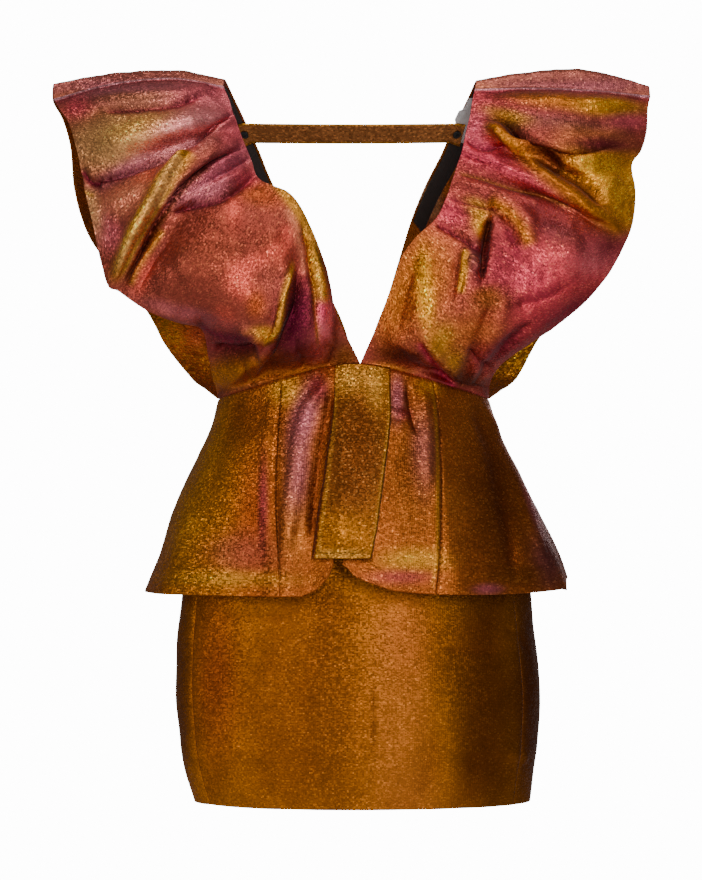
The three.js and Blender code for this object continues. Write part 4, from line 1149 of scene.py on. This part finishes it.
# %% Sew the backs
BACK_FADES = ((1, 8), (1, 10), (1, 42), (0.45, 8))
BACK_GRID = (154, 130)
back_left, back_left_base, back_left_normals = bodice(
    "back_left", BACK_LEFT, [], FOLDS_BACK_LEFT, math.pi - V_ANGLE + PARTED, math.pi + SIDE_SEAM, BACK,
    BACK_FADES, 7, paint_back(1), BACK_GRID,
)
back_right, back_right_base, back_right_normals = bodice(
    "back_right", BACK_RIGHT, [], FOLDS_BACK_RIGHT, math.pi - V_ANGLE - PARTED, math.pi - SIDE_SEAM, BACK,
    BACK_FADES, 9, paint_back(-1, BACK_RIGHT_ONLY), BACK_GRID,
)
put_on(back_left, "bodice_back_left")
put_on(back_right, "bodice_back_right")

# %% [markdown]
# ## Peplum
# The peplum is six flared panels. Each is the same tube between its own two seams, so neighbours always meet.
# Flares grow towards the hem as they do in cloth cut on a curve. The seams show as fine wells with a pressed
# edge, and the two fronts round up to a parting that the flap covers.

# %% Peplum surface
SEAM_DIP = 0.9
SIDES = ("left", "right", "front", "back")
PEPLUM_HEM = [PEPLUM[-1][side] for side in SIDES]


def section(rows, drop, stand=0):
    """A tube's size to the left, right, front and back this far down, and stand more all round."""
    return [look_up(rows, "drop", drop, side) + stand for side in SIDES]


def hem_z(angle):
    x, _ = ring(angle, *PEPLUM_HEM)
    lift = np.where(np.cos(angle) > 0, look_up(HEM_LIFT, "x", x, "lift"), 1)
    return WAIST_SIDE_Z - PEPLUM_DROP + lift


def peplum_point(angle, down):
    flare = np.zeros(np.broadcast(angle, down).shape)
    for row in FLARES:
        off = np.abs(np.degrees(angle) - row["angle"]) % 360
        flare = flare + row["rise"] * band(np.minimum(off, 360 - off), 0, row["spread"])
    x, y = ring(angle, *section(PEPLUM, down * PEPLUM_DROP, flare * down**1.5))
    return np.stack([x, y, mix(waist_z(angle), hem_z(angle), down)], -1)


def angle_at(x, down):
    left, right, _, _ = section(PEPLUM, down * PEPLUM_DROP)
    return np.arcsin((x - WAIST_X) / np.where(x < WAIST_X, left, right))


def peplum_edge(edge, down):
    if isinstance(edge, str):
        return angle_at(look_up(PEPLUM, "drop", down * PEPLUM_DROP, edge), down)
    return np.full_like(down, edge)


PEPLUM_FOLDS = table("fold line width rise edge", [
    ("rose ridge", [(-27, -292), (-50, -333), (-57, -381), (-64, -430), (-66, -468)], 7, 5, "soft"),
    ("valley by the flap", [(-21, -292), (-30, -348), (-38, -408), (-42, -457)], 6, -5, "soft"),
    ("seam well left", [(-72, -299), (-74, -334), (-77, -393), (-75, -445), (-72, -494)],
     2.2, -2.2, "soft"),
    ("beside the seam", [(-81, -305), (-85, -352), (-87, -410), (-83, -478)], 6, 2, "soft"),
    ("seam well right", [(77, -296), (83, -341), (84, -408), (83, -460), (80, -494)], 2, -1.6, "soft"),
    ("right crease", [(51, -298), (55, -327), (61, -348)], 3.5, -3, "soft"),
    ("small tuck", [(34, -319), (44, -320), (52, -323)], 2.5, -1.6, "soft"),
    ("smaller tuck", [(33, -331), (42, -332), (50, -334)], 2, -1.2, "soft"),
    ("right roll", [(67, -300), (71, -342), (71, -401)], 6, 1.8, "soft"),
    ("hip hollow", [(-113, -305), (-127, -352), (-147, -411)], 8, -1.5, "soft"),
    ("hip fold", [(128, -314), (155, -370), (173, -431), (188, -477)], 6, 3.5, "soft"),
    ("beside the hip fold", [(115, -313), (136, -372), (150, -440), (158, -494)], 8, -3, "soft"),
])
print("hem at the side:", round(float(hem_z(np.array(math.pi / 2))), 1))

# %% Tones of the peplum
# Besides the peplum's tones, these patches paint its light and shade: mauve and gold highlights on the ridges,
# wine shade beside the flap, and darker brown and plum shade towards the right side.
PEPLUM_PATCHES = table(PATCH, [
    (-150, -400, 60, 130, 0, "ochre", 0.9), (-158, -390, 22, 110, -14, "gold", 0.55),
    (-97, -432, 22, 70, 0, "rust", 0.75), (-112, -462, 38, 22, 0, "red brown", 0.6),
    (-89, -412, 5, 46, 0, "wine", 0.8), (-127, -487, 64, 8, 0, "gold", 0.6),
    (-68, -303, 16, 16, 0, "gold", 0.85), (-50, -330, 12, 34, -15, "mauve", 0.9),
    (-36, -302, 10, 14, 0, "wine", 0.85), (-56, -388, 10, 44, -6, "mauve", 0.7),
    (-27, -390, 7, 60, -6, "ochre", 0.85), (-58, -440, 12, 30, 0, "copper", 0.7),
    (41, -312, 7, 22, 0, "mauve", 0.75), (73, -298, 12, 12, 0, "bright gold", 0.85),
    (48, -327, 8, 7, 0, "wine", 0.7), (67, -364, 12, 38, 0, "mauve", 0.5),
    (50, -400, 24, 44, 0, "brown", 0.55), (64, -380, 30, 90, 0, "brown", 0.3),
    (58, -468, 32, 11, 0, "gold", 0.8), (44, -484, 28, 7, 0, "rose brown", 0.75),
    (110, -330, 28, 26, -10, "copper", 0.7), (98, -400, 18, 70, 0, "copper", 0.6),
    (140, -418, 34, 80, 8, "brown", 0.8), (170, -380, 16, 60, 12, "dark brown", 0.6),
    (190, -470, 18, 34, 10, "plum", 0.85), (176, -420, 5, 30, 20, "mauve", 0.6),
    (129, -497, 14, 5, 0, "pink mauve", 0.7), (160, -484, 24, 10, 0, "brown", 0.8),
])
PEPLUM_PLAIN = table(PATCH, [
    (60, -400, 50, 140, 0, "copper", 0.8), (-60, -420, 40, 120, 10, "rust", 0.7),
    (140, -420, 50, 120, 0, "brown", 0.7), (0, -480, 160, 14, 0, "gold", 0.5),
    (20, -330, 70, 16, 0, "rose brown", 0.6),
])
# Dark seam lines, partly the stitches and partly painted shadow in the seam wells, and a painted gold highlight
# beside the right seam.
PEPLUM_STREAKS = table(STREAK, [
    ([(-72, -285), (-74, -334), (-77, -393), (-75, -445), (-70, -503)], 1.3, "dark brown", 0.95),
    ([(77, -285), (83, -341), (84, -408), (83, -460), (78, -503)], 1.2, "dark brown", 0.9),
    ([(74, -290), (79, -341), (80, -408), (79, -460), (74, -500)], 1.6, "gold", 0.5),
])


def plain_behind(colour, point, patches):
    """Behind the side seams, plainer tones of their own take over."""
    plain = airbrush(ground("ochre", point[..., 0]), point[..., 0], point[..., 2], patches)
    return mix(colour, plain, smooth(point[..., 1], 0, 50)[..., None])


def paint_peplum(point):
    x, z = point[..., 0], point[..., 2]
    colour = ground("copper brown", x) * np.array([0.92, 0.92, 0.85, 1])
    colour = airbrush(colour, x, z, PEPLUM_PATCHES)
    colour = streaks(colour, x, z, PEPLUM_STREAKS)
    return plain_behind(colour, point, PEPLUM_PLAIN)


print(len(PEPLUM_PATCHES), "patches on the peplum")

# %% Sew the peplum
PEPLUM_ROWS = 92
TUBE_DOWN = 195  # the lengths by which a tube panel's edge steps are shared out
TUBE_ACROSS = 110
TUBE_WAVES = (24, 130, 40, 0.7)
SEAM_HOLD = 0.15  # how freely the cloth still moves on a seam, and how far it draws back from one
SEAM_DRAW = 0.12
SEWN = ("top", "first", "last")


def tube_panel(panel, surface, folds, sewn, seed, paint, rows):
    """Sews one panel of a tube and hands it to the frame."""
    facing = panel["facing"]
    base = surface(steps(rows, TUBE_DOWN), steps(panel["columns"], TUBE_ACROSS))
    normals = outward(base, facing)
    in_front = smooth(-base[..., 1], -10, 30)
    from_seam = edge_distance(base, sewn)
    rise = fold_rise(folds, base[..., 0], base[..., 2]) * in_front + waves(base, *TUBE_WAVES, seed)
    rise = rise * smooth(edge_distance(base, ("top",)), 0, 14)
    rise = rise * (SEAM_HOLD + (1 - SEAM_HOLD) * smooth(from_seam, 0, 6))
    rise += turned_edge(from_seam, SEAM_DIP)
    points = base + normals * rise[..., None]
    points[:, 0] += SEAM_DRAW * (points[:, 1] - points[:, 0]) * ("first" in sewn)
    points[:, -1] += SEAM_DRAW * (points[:, -2] - points[:, -1]) * ("last" in sewn)
    points = draw_back(points, "top", WAIST_OPEN)
    # Painted shade in the folds' troughs and painted highlights on their crests and lit slopes.
    colour = shot(paint(points), 1.6 * rise, outward(points, facing) - normals)
    piece = make_cloth(panel["name"], points, outward(points, facing), CLOTH, colour)
    piece.data.materials.append(LAME)
    put_on(piece, panel["node"])


SIDEWAYS = np.array([1.0, 0, 0])
PEPLUM_PANELS = table("name node start end facing sewn columns flat area", [
    ("peplum_front_l", "peplum_front_left", "edgeLeft", "seamLeft", FRONT, ("top", "last"), 64,
     (0.1, 0.225), 0.0175),
    ("peplum_side_l", "peplum_side_left", "seamLeft", -math.pi / 2, -SIDEWAYS, SEWN, 64,
     (0.21, 0.215), 0.035),
    ("peplum_back_l", "peplum_back_left", -math.pi / 2, -math.pi, BACK, SEWN, 84, (0.3, 0.215), 0.0495),
    ("peplum_front_r", "peplum_front_right", "edgeRight", "seamRight", FRONT, ("top", "last"), 64,
     (0.12, 0.22), 0.021),
    ("peplum_side_r", "peplum_side_right", "seamRight", math.pi / 2, SIDEWAYS, SEWN, 64,
     (0.21, 0.215), 0.033),
    ("peplum_back_r", "peplum_back_right", math.pi / 2, math.pi, BACK, SEWN, 84, (0.3, 0.215), 0.0495),
])
for seed, panel in enumerate(PEPLUM_PANELS):

    def surface(down, across, panel=panel):
        start, end = peplum_edge(panel["start"], down), peplum_edge(panel["end"], down)
        angle = mix(start[:, None], end[:, None], across[None, :])
        return peplum_point(angle, down[:, None] + 0 * across[None, :])

    tube_panel(panel, surface, PEPLUM_FOLDS, panel["sewn"], 20 + seed, paint_peplum, PEPLUM_ROWS)

# %% [markdown]
# ## The box-pleat flap
# The flap is one folded piece that stands off the peplum on two short walls, leans to one side on its way down
# and ends in a stitched hem. Its section is drawn through nine corners, closer together at the two walls.

# %% Sew the flap
FLAP_CLOTH = 1.4
FLAP_GRID = (110, 73)
FLAP_DOWN = 185
FLAP_CORNERS = [0, 0.6, 1.35, 3, 4, 5, 6.65, 7.4, 8]  # which corner is reached at each eighth of the grid
FLAP_WAVES = (16, 90, 30, 0.3)
STITCH_Z = -461  # the hem's line of stitches and how deep it is drawn in
STITCH_DEEP = 0.5


def flap_surface(down, across):
    rows = []
    for v in down:
        left = float(look_up(FLAP, "down", v, "left"))
        right = float(look_up(FLAP, "down", v, "right"))
        skew = FLAP_SKEW * v
        corners = [left - skew, left - skew * 0.45, left]
        corners += [mix(left, right, t) for t in (0.25, 0.5, 0.75)]
        corners += [right, right + 0.6, right + 1.2]
        laid = (CAD_WALL + CLOTH) / 2 + LAID
        # It stands off fully from two fifths of the way down.
        top = laid + FLAP_PROUD * min(1, 0.12 + 2.2 * v)
        lifts = [laid, mix(laid, top, 0.6), *[top] * 5, mix(laid, top, 0.6), laid]
        place = np.interp(across, np.linspace(0, 1, 9), FLAP_CORNERS)
        x = np.interp(place, range(9), corners)
        lift = np.interp(place, range(9), lifts)
        angle = angle_at(x, np.full_like(x, v * FLAP_SHARE))
        high = waist_z(angle)
        z = mix(high, FLAP_END_Z, v)
        point = peplum_point(angle, (high - z) / (high - hem_z(angle)))
        off = np.stack([point[:, 0] - WAIST_X, point[:, 1] * 2, 0 * x], -1)
        off *= (lift / np.linalg.norm(off, axis=-1))[:, None]
        rows.append(np.stack([point[:, 0] + off[:, 0], point[:, 1] + off[:, 1], z], -1))
    return np.array(rows)


FLAP_PATCHES = table(PATCH, [
    (0, -370, 60, 110, 0, "brown", 1.0), (-8, -292, 20, 14, 0, "gold", 0.8),
    (20, -296, 10, 24, 0, "gold", 0.9), (2, -345, 20, 36, 0, "deep brown", 0.8),
    (-6, -385, 24, 30, 0, "deep brown", 0.6), (-14, -440, 26, 16, 0, "ochre", 0.6),
    (-16, -462, 28, 5, 0, "gold", 0.8),
])
# Painted highlights along the right edge and on the left wall, a painted shadow along the foot of the left wall,
# and the dark line of the hem's stitches.
FLAP_STREAKS = table(STREAK, [
    ([(32, -285), (32, -335), (27, -385), (21, -430), (15, -466)], 1.1, "gold", 0.6),
    ([(-21, -285), (-24, -335), (-31, -385), (-39, -450), (-42, -470)], 2.4, "deep brown", 0.85),
    ([(-17, -285), (-20, -335), (-26, -385), (-34, -450), (-36, -466)], 1.2, "gold", 0.5),
    ([(-40, -461), (-12, -461.5), (16, -461)], 0.7, "dark brown", 0.6),
])


def paint_flap(point):
    x, z = point[..., 0], point[..., 2]
    colour = streaks(airbrush(ground("ochre", x), x, z, FLAP_PATCHES), x, z, FLAP_STREAKS)
    return colour * np.array([0.86, 0.86, 1.3, 1.25])


down, across = steps(FLAP_GRID[0], FLAP_DOWN), np.linspace(0, 1, FLAP_GRID[1])
flap_base = flap_surface(down, across)
flap_normals = outward(flap_base, FRONT)
flap_rise = waves(flap_base, *FLAP_WAVES, 40) * smooth(down, 0, 0.15)[:, None]
flap_rise -= STITCH_DEEP * band(flap_base[..., 2], STITCH_Z, 0.9)
flap_points = draw_back(flap_base + flap_normals * flap_rise[..., None], "top", WAIST_OPEN)
flap = make_cloth("flap", flap_points, outward(flap_points, FRONT), FLAP_CLOTH, paint_flap(flap_points))
flap.data.materials.append(LAME)
put_on(flap, "peplum_flap")

# %% [markdown]
# ## Skirt
# The skirt is a front and two back panels over the hips. It has few folds. Its light and shade are painted in
# long bands instead: a copper highlight down the middle, ochre to the left and deep brown shade to the right.

# %% Skirt
def skirt_point(angle, down):
    x, y = ring(angle, *section(SKIRT, down * SKIRT_DROP))
    return np.stack([x, y, mix(waist_z(angle), WAIST_SIDE_Z - SKIRT_DROP, down)], -1)


SKIRT_FOLDS = table("fold line width rise edge", [
    ("tummy crease", [(17, -595), (16, -622), (14, -648)], 3, -1.6, "soft"),
    ("thigh strain", [(87, -558), (112, -559), (141, -562)], 3.5, -1.2, "soft"),
    ("upper strain", [(-141, -529), (-102, -526), (-62, -528)], 5, -1, "soft"),
    ("side pull", [(148, -537), (162, -549), (172, -564)], 4, -1.5, "soft"),
    ("lower wave left", [(-114, -645), (-108, -679), (-107, -709)], 12, 1.6, "soft"),
    ("lower wave right", [(112, -655), (116, -684), (118, -709)], 12, -1.6, "soft"),
    ("hem flick", [(149, -660), (161, -664), (173, -668)], 5, 2, "soft"),
    ("middle swell", [(36, -507), (36, -585), (36, -701)], 30, 1.5, "soft"),
])
# These bands are painted light and shade: a copper highlight down the middle, and brown and deep brown shade
# towards both edges, darkest on the right.
SKIRT_PATCHES = table(PATCH, [
    (-60, -600, 100, 150, 0, "dark ochre", 0.75), (-50, -600, 70, 150, 0, "copper brown", 0.25),
    (-138, -585, 24, 90, 0, "rust", 0.6), (-172, -600, 10, 130, 0, "deep brown", 0.7),
    (48, -620, 38, 170, 0, "copper", 0.95), (46, -620, 22, 150, 0, "orange gold", 0.3),
    (48, -545, 30, 40, 0, "copper brown", 0.5), (18, -624, 3, 40, 0, "brown", 0.7),
    (3, -630, 10, 44, 0, "orange gold", 0.5), (-22, -620, 30, 160, 0, "brown", 0.6),
    (-80, -620, 34, 150, 0, "brown", 0.25), (126, -600, 42, 170, 0, "deep brown", 0.9),
    (132, -670, 36, 60, 0, "dark brown", 0.5), (112, -545, 30, 24, 0, "dark ochre", 0.35),
    (174, -600, 18, 150, 0, "dark brown", 0.95), (60, -700, 50, 30, 0, "copper", 0.5),
])
SKIRT_PLAIN = table(PATCH, [
    (-40, -600, 44, 160, 0, "copper", 0.9), (80, -600, 46, 160, 0, "rust", 0.7),
    (150, -600, 30, 160, 0, "brown", 0.8), (-150, -600, 30, 160, 0, "brown", 0.6),
])


def paint_skirt(point):
    x, z = point[..., 0], point[..., 2]
    colour = ground("ochre", x)
    colour = airbrush(colour, x, z, SKIRT_PATCHES)
    colour = plain_behind(colour, point, SKIRT_PLAIN)
    return colour * np.array([1, 1, 1.1, 0.62])


SKIRT_ROWS = 142
SKIRT_SEAM = math.radians(SKIRT_SEAM_ANGLE)
SKIRT_PANELS = table("name node start end facing columns flat area", [
    ("skirt_front_panel", "skirt_front", -SKIRT_SEAM, SKIRT_SEAM, FRONT, 130, (0.37, 0.435), 0.146),
    ("skirt_back_r", "skirt_back_right", SKIRT_SEAM, math.pi, BACK, 96, (0.31, 0.42), 0.118),
    ("skirt_back_l", "skirt_back_left", math.pi, 2 * math.pi - SKIRT_SEAM, BACK, 96, (0.31, 0.42), 0.118),
])
for seed, panel in enumerate(SKIRT_PANELS):

    def surface(down, across, panel=panel):
        angle = mix(panel["start"], panel["end"], across)[None, :] + 0 * down[:, None]
        return skirt_point(angle, down[:, None] + 0 * angle)

    tube_panel(panel, surface, SKIRT_FOLDS, SEWN, 50 + seed, paint_skirt, SKIRT_ROWS)

# %% [markdown]
# ## Tape, label and strap
# Inside the back neck edges runs a black ribbed tape. A blank woven label covers its upper end on one side. The
# strap lies on the tape at both ends and crosses the open back between them. All of them are laid on the back
# panels' own points, a little further in, so they can't float or sink.

# %% Laid pieces
BACK_ROWS = 2 * (len(BACK_LEFT) + 1)
BACK_COLUMNS = 18
BACKS = {"left": (back_left_base, back_left_normals), "right": (back_right_base, back_right_normals)}


def on_back(side, row, column):
    """A place on the inside of a back panel, by the rows and columns of its solid."""
    base, normals = BACKS[side]
    down, across = steps(BACK_GRID[0], PANEL_DOWN), steps(BACK_GRID[1], PANEL_ACROSS)
    rows = np.interp(np.asarray(row, float) / BACK_ROWS, down, np.arange(len(down)))
    columns = np.interp(np.asarray(column, float) / BACK_COLUMNS, across, np.arange(len(across)))
    rows, columns = np.broadcast_arrays(rows, columns)
    i = np.clip(np.floor(rows).astype(int), 0, base.shape[0] - 2)
    j = np.clip(np.floor(columns).astype(int), 0, base.shape[1] - 2)
    s, t = (rows - i)[..., None], (columns - j)[..., None]

    def pick(field):
        return mix(mix(field[i, j], field[i, j + 1], t), mix(field[i + 1, j], field[i + 1, j + 1], t), s)

    point, normal = pick(base), pick(normals)
    normal /= np.linalg.norm(normal, axis=-1, keepdims=True)
    past = np.broadcast_to(np.minimum(np.asarray(column, float), 0), rows.shape)[..., None]
    if past.any():
        inner, _ = on_back(side, row, np.ones_like(columns))
        edge, _ = on_back(side, row, np.zeros_like(columns))
        point = point + past * (inner - edge)
    return point, normal


def laid(side, row_from, row_to, column_from, column_to, rows, columns, depth):
    row = np.linspace(row_from, row_to, rows)[:, None] + np.zeros((1, columns))
    column = np.linspace(column_from, column_to, columns)[None, :] + np.zeros((rows, 1))
    point, normal = on_back(side, row, column)
    return point - normal * depth, normal


TAPE_DEPTH = CAD_WALL / 2 + LAID + CAD_TRIM / 2
OVER_TAPE = TAPE_DEPTH + CAD_TRIM + LAID
print("tape lies", TAPE_DEPTH, "mm in, label and strap", OVER_TAPE, "mm in")


# %% Black ribbed tape
def plain_cloth(name, colour, rough, rib, rib_depth):
    finish, tree, shader = new_finish(name)
    weave = node(tree, "ShaderNodeUVMap", uv_map="weave").outputs[0]
    split = node(tree, "ShaderNodeSeparateXYZ", {0: weave}).outputs
    ribs = maths(tree, "SINE", maths(tree, "MULTIPLY", split[1], 2 * math.pi / rib))
    yarn = maths(tree, "SINE", maths(tree, "MULTIPLY", split[0], 2 * math.pi / (rib * 0.6)))
    fuzz = node(tree, "ShaderNodeTexNoise", {"Scale": 900.0, "Detail": 2.0}).outputs[0]
    level = maths(tree, "ADD", maths(tree, "MULTIPLY", maths(tree, "MULTIPLY", ribs, yarn), 0.1), fuzz)
    level = maths(tree, "ADD", maths(tree, "MULTIPLY", level, 0.6), 0.7)
    shaded = vectors(tree, "MULTIPLY", colour, level)
    tree.links.new(shaded, shader.inputs["Base Color"])
    shader.inputs["Roughness"].default_value = rough
    shader.inputs["Sheen Weight"].default_value = 0.15
    bump = node(tree, "ShaderNodeBump", {"Strength": 0.6, "Distance": rib_depth, "Height": ribs})
    tree.links.new(bump.outputs[0], shader.inputs["Normal"])
    return finish


BLACK = plain_cloth("black ribbed tape", tuple(tone(46, 36, 32)), 0.75, 0.0012, 0.0002)
WHITE = plain_cloth("label cloth", tuple(tone(246, 250, 252)), 0.6, 0.0007, 0.0001)
TAPES = table("name node side row_from row_to column_to flat", [
    ("tape_left", "neck_tape_left", "left", 3, 12, 1.3, (0.015, 0.13)),
    ("tape_right", "neck_tape_right", "right", 2, 14, 1.7, (0.02, 0.19)),
])
for strip in TAPES:
    points, normals = laid(
        strip["side"], strip["row_from"], strip["row_to"], 0.2, strip["column_to"], 90, 12, TAPE_DEPTH
    )
    piece = make_cloth(strip["name"], points, normals, TAPE)
    piece.data.materials.append(BLACK)
    put_on(piece, strip["node"])

# %% Blank label
LABEL_ROWS = [3.8, 5.2, 5.5, 6.6, 8.6]  # its edge beside the neck, in rows and columns of the solid
LABEL_EDGE = [-0.05, -0.1, -0.55, -0.5, 0.75]
LABEL_INNER = 1.7
rows = np.linspace(LABEL_ROWS[0], LABEL_ROWS[-1], 70)[:, None]
from_edge = np.interp(rows, LABEL_ROWS, LABEL_EDGE)
columns = from_edge + (LABEL_INNER - from_edge) * np.linspace(0, 1, 24)[None, :]
points, normals = on_back("right", rows + 0 * columns, columns)
points = points - normals * OVER_TAPE
label = make_cloth("blank_label", points, normals, 0.6)
label.data.materials.append(WHITE)
put_on(label, "label")

# %% Strap
def height_row(side, z):
    rows = np.arange(1, 12, 0.02)
    point, _ = on_back(side, rows, np.zeros_like(rows))
    return rows[np.argmax(point[:, 2] < z)]


STRAP_ENDS = {"left": 1.4, "right": 0.75}  # how far in from the neck edge, in columns of the solid
STRAP_DEPTH = OVER_TAPE + 0.9
STRAP_LINES = 9
STRAP_LEFT_X = -112  # the open back that the strap crosses
STRAP_ACROSS = 215
STRAP_SAG = 0.8


def strap_end(side, column, z):
    point, normal = on_back(side, np.array(height_row(side, z)), np.array(float(column)))
    return point - normal * STRAP_DEPTH, normal


strap_lines, strap_normals = [], []
for z in np.linspace(STRAP_TOP_Z, STRAP_TOP_Z - STRAP_WIDTH, STRAP_LINES):
    slant = 0.35 * (STRAP_TOP_Z - z) / STRAP_WIDTH
    left = [strap_end("left", c, z) for c in np.linspace(STRAP_ENDS["left"], 0, 14)]
    right = [strap_end("right", c, z) for c in np.linspace(0, STRAP_ENDS["right"] + slant, 14)]
    a, b = left[-1][0], right[0][0]
    between = [(mix(a, b, t), BACK) for t in np.linspace(0, 1, 62)[1:-1]]
    row = left + between + right
    strap_lines.append([p for p, _ in row])
    strap_normals.append([n for _, n in row])
strap_points = np.array(strap_lines)
sag = STRAP_SAG * np.sin(np.pi * np.clip((strap_points[..., 0] - STRAP_LEFT_X) / STRAP_ACROSS, 0, 1))
strap_points[..., 2] -= sag
strap_colour = mix(TONES["copper"], ground("tan", strap_points[..., 0]), 0.3)
strap_colour[[0, -1]] = TONES["gold"]
strap = make_cloth("strap", strap_points, np.array(strap_normals), 1.0, strap_colour)
strap.data.materials.append(STRAP_LAME)
put_on(strap, "back_strap")

# %% [markdown]
# ## Snaps
# A sewn-on snap is a pressed disc with a raised rim and a low boss. Its profile is drawn once and turned round
# its own axis, which is what a lathe does.

# %% Snaps
SNAP_PROFILE = [
    (0, 1.9), (1.1, 1.8), (1.7, 1.2), (2.6, 0.95), (3.4, 1.15), (4.1, 1.0), (4.5, 0.5), (4.4, 0), (0, 0),
]


def turned_disc(name, profile, place, up):
    turns = 40
    corners, faces = [], []
    quarter = Vector((0, 0, 1)).rotation_difference(Vector(up))
    for k in range(turns):
        angle = 2 * math.pi * k / turns
        for radius, high in profile[1:-1]:
            local = Vector((radius * math.cos(angle), radius * math.sin(angle), high))
            corners.append((quarter @ local + Vector(place)) * MM)
    count = len(profile) - 2
    for k in range(turns):
        a, b = k * count, (k + 1) % turns * count
        faces += [(a + j, a + j + 1, b + j + 1, b + j) for j in range(count - 1)]
    corners.append((quarter @ Vector((0, 0, profile[0][1])) + Vector(place)) * MM)
    corners.append((quarter @ Vector((0, 0, profile[-1][1])) + Vector(place)) * MM)
    for k in range(turns):
        a, b = k * count, (k + 1) % turns * count
        faces.append((a, b, len(corners) - 2))
        faces.append((b + count - 1, a + count - 1, len(corners) - 1))
    mesh = bpy.data.meshes.new(name)
    mesh.from_pydata([tuple(c) for c in corners], [], faces)
    mesh.update()
    mesh.shade_smooth()
    disc = bpy.data.objects.new(name, mesh)
    bpy.context.scene.collection.objects.link(disc)
    return disc


def snap_metal():
    finish, tree, shader = new_finish("black snap metal")
    noise = node(tree, "ShaderNodeTexNoise", {"Scale": 700.0, "Detail": 3.0}).outputs[0]
    grey = ramp(tree, noise, [(0.3, 0.012), (0.7, 0.035)])
    tree.links.new(grey, shader.inputs["Base Color"])
    worn = ramp(tree, noise, [(0.3, 0.28), (0.7, 0.5)])
    tree.links.new(worn, shader.inputs["Roughness"])
    shader.inputs["Metallic"].default_value = 0.5
    return finish


SNAP = snap_metal()
for side in ("left", "right"):
    point, normal = strap_end(side, 0.35, STRAP_TOP_Z - STRAP_WIDTH / 2)
    disc = turned_disc(f"snap_disc_{side}", SNAP_PROFILE, point - normal * (CAD_TRIM / 2 + 0.4), -normal)
    disc.data.materials.append(SNAP)
    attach(disc, "root")
    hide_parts(f"snap_{side}")
print("snaps", 2 * SNAP_PROFILE[6][0], "mm across")

# %% [markdown]
# ## Studio
# The dress hangs as on a standing wearer, so the floor lies well below it. The floor and the room are plain and
# pale. One large soft lamp stands in front, a little right of the camera. A weaker one from the left fills the
# sleeves, and two more, above and behind, show the shoulders and the back.

# %% Floor and room
bpy.ops.mesh.primitive_circle_add(vertices=96, radius=3.6, fill_type="NGON", location=(0, 0, FLOOR_Z * MM))
floor = bpy.context.object
floor.name = "studio_floor"
paper, tree, shader = new_finish("pale paper")
speck = node(tree, "ShaderNodeTexNoise", {"Scale": 3.0, "Detail": 2.0}).outputs[0]
tree.links.new(ramp(tree, speck, [(0.3, 0.8), (0.7, 0.84)]), shader.inputs["Base Color"])
shader.inputs["Roughness"].default_value = 0.9
floor.data.materials.append(paper)

world = bpy.data.worlds.new("pale room")
bpy.context.scene.world = world
world.use_nodes = True
room = world.node_tree
room.nodes.clear()
seen = node(room, "ShaderNodeBackground", {"Color": (1, 1, 1, 1), "Strength": 14.0})
light = node(room, "ShaderNodeBackground", {"Color": (1, 0.985, 0.96, 1), "Strength": 0.16})
path = node(room, "ShaderNodeLightPath").outputs["Is Camera Ray"]
both = node(room, "ShaderNodeMixShader", {0: path, 1: light.outputs[0], 2: seen.outputs[0]})
out = node(room, "ShaderNodeOutputWorld")
room.links.new(both.outputs[0], out.inputs[0])
print("floor at", floor.location.z, "m")


# %% Lamps
def soft_lamp(name, place, aim, wide, high, watts):
    data = bpy.data.lights.new(name, "AREA")
    data.shape = "RECTANGLE"
    data.size, data.size_y = wide, high
    data.energy = watts
    lamp = bpy.data.objects.new(name, data)
    lamp.location = place
    lamp.rotation_euler = (Vector(aim) - Vector(place)).to_track_quat("-Z", "Y").to_euler()
    bpy.context.scene.collection.objects.link(lamp)
    return lamp


LAMPS = table("name place aim wide high watts", [
    ("key", (0.75, -3.2, 0.5), (0, 0, -0.35), 0.9, 1.6, 50),
    ("fill", (-2.4, -2.2, 0.3), (0, 0, -0.3), 1.4, 1.6, 26),
    ("top", (0, -0.6, 2.2), (0, 0, -0.3), 1.6, 1.0, 24),
    ("back", (0.6, 3.0, 0.6), (0, 0, -0.35), 1.6, 1.6, 30),
])
for row in LAMPS:
    soft_lamp(**row)
print(len(LAMPS), "lamps")

# %% [markdown]
# ## Camera
# The photograph was taken level, from far enough away to flatten the dress. At four metres this lens makes one
# pixel one millimetre at the dress's middle plane.

# %% Camera
camera_data = bpy.data.cameras.new("camera")
camera_data.lens = 163.6
camera_data.sensor_width = 36
camera_data.sensor_fit = "AUTO"
camera_data.clip_end = 60
camera = bpy.data.objects.new("camera", camera_data)
camera.location = (CAMERA_X * MM, -CAMERA_AWAY * MM, CAMERA_Z * MM)
camera.rotation_euler = (math.pi / 2, 0, 0)
bpy.context.scene.collection.objects.link(camera)
bpy.context.scene.camera = camera
print("camera at", tuple(camera.location))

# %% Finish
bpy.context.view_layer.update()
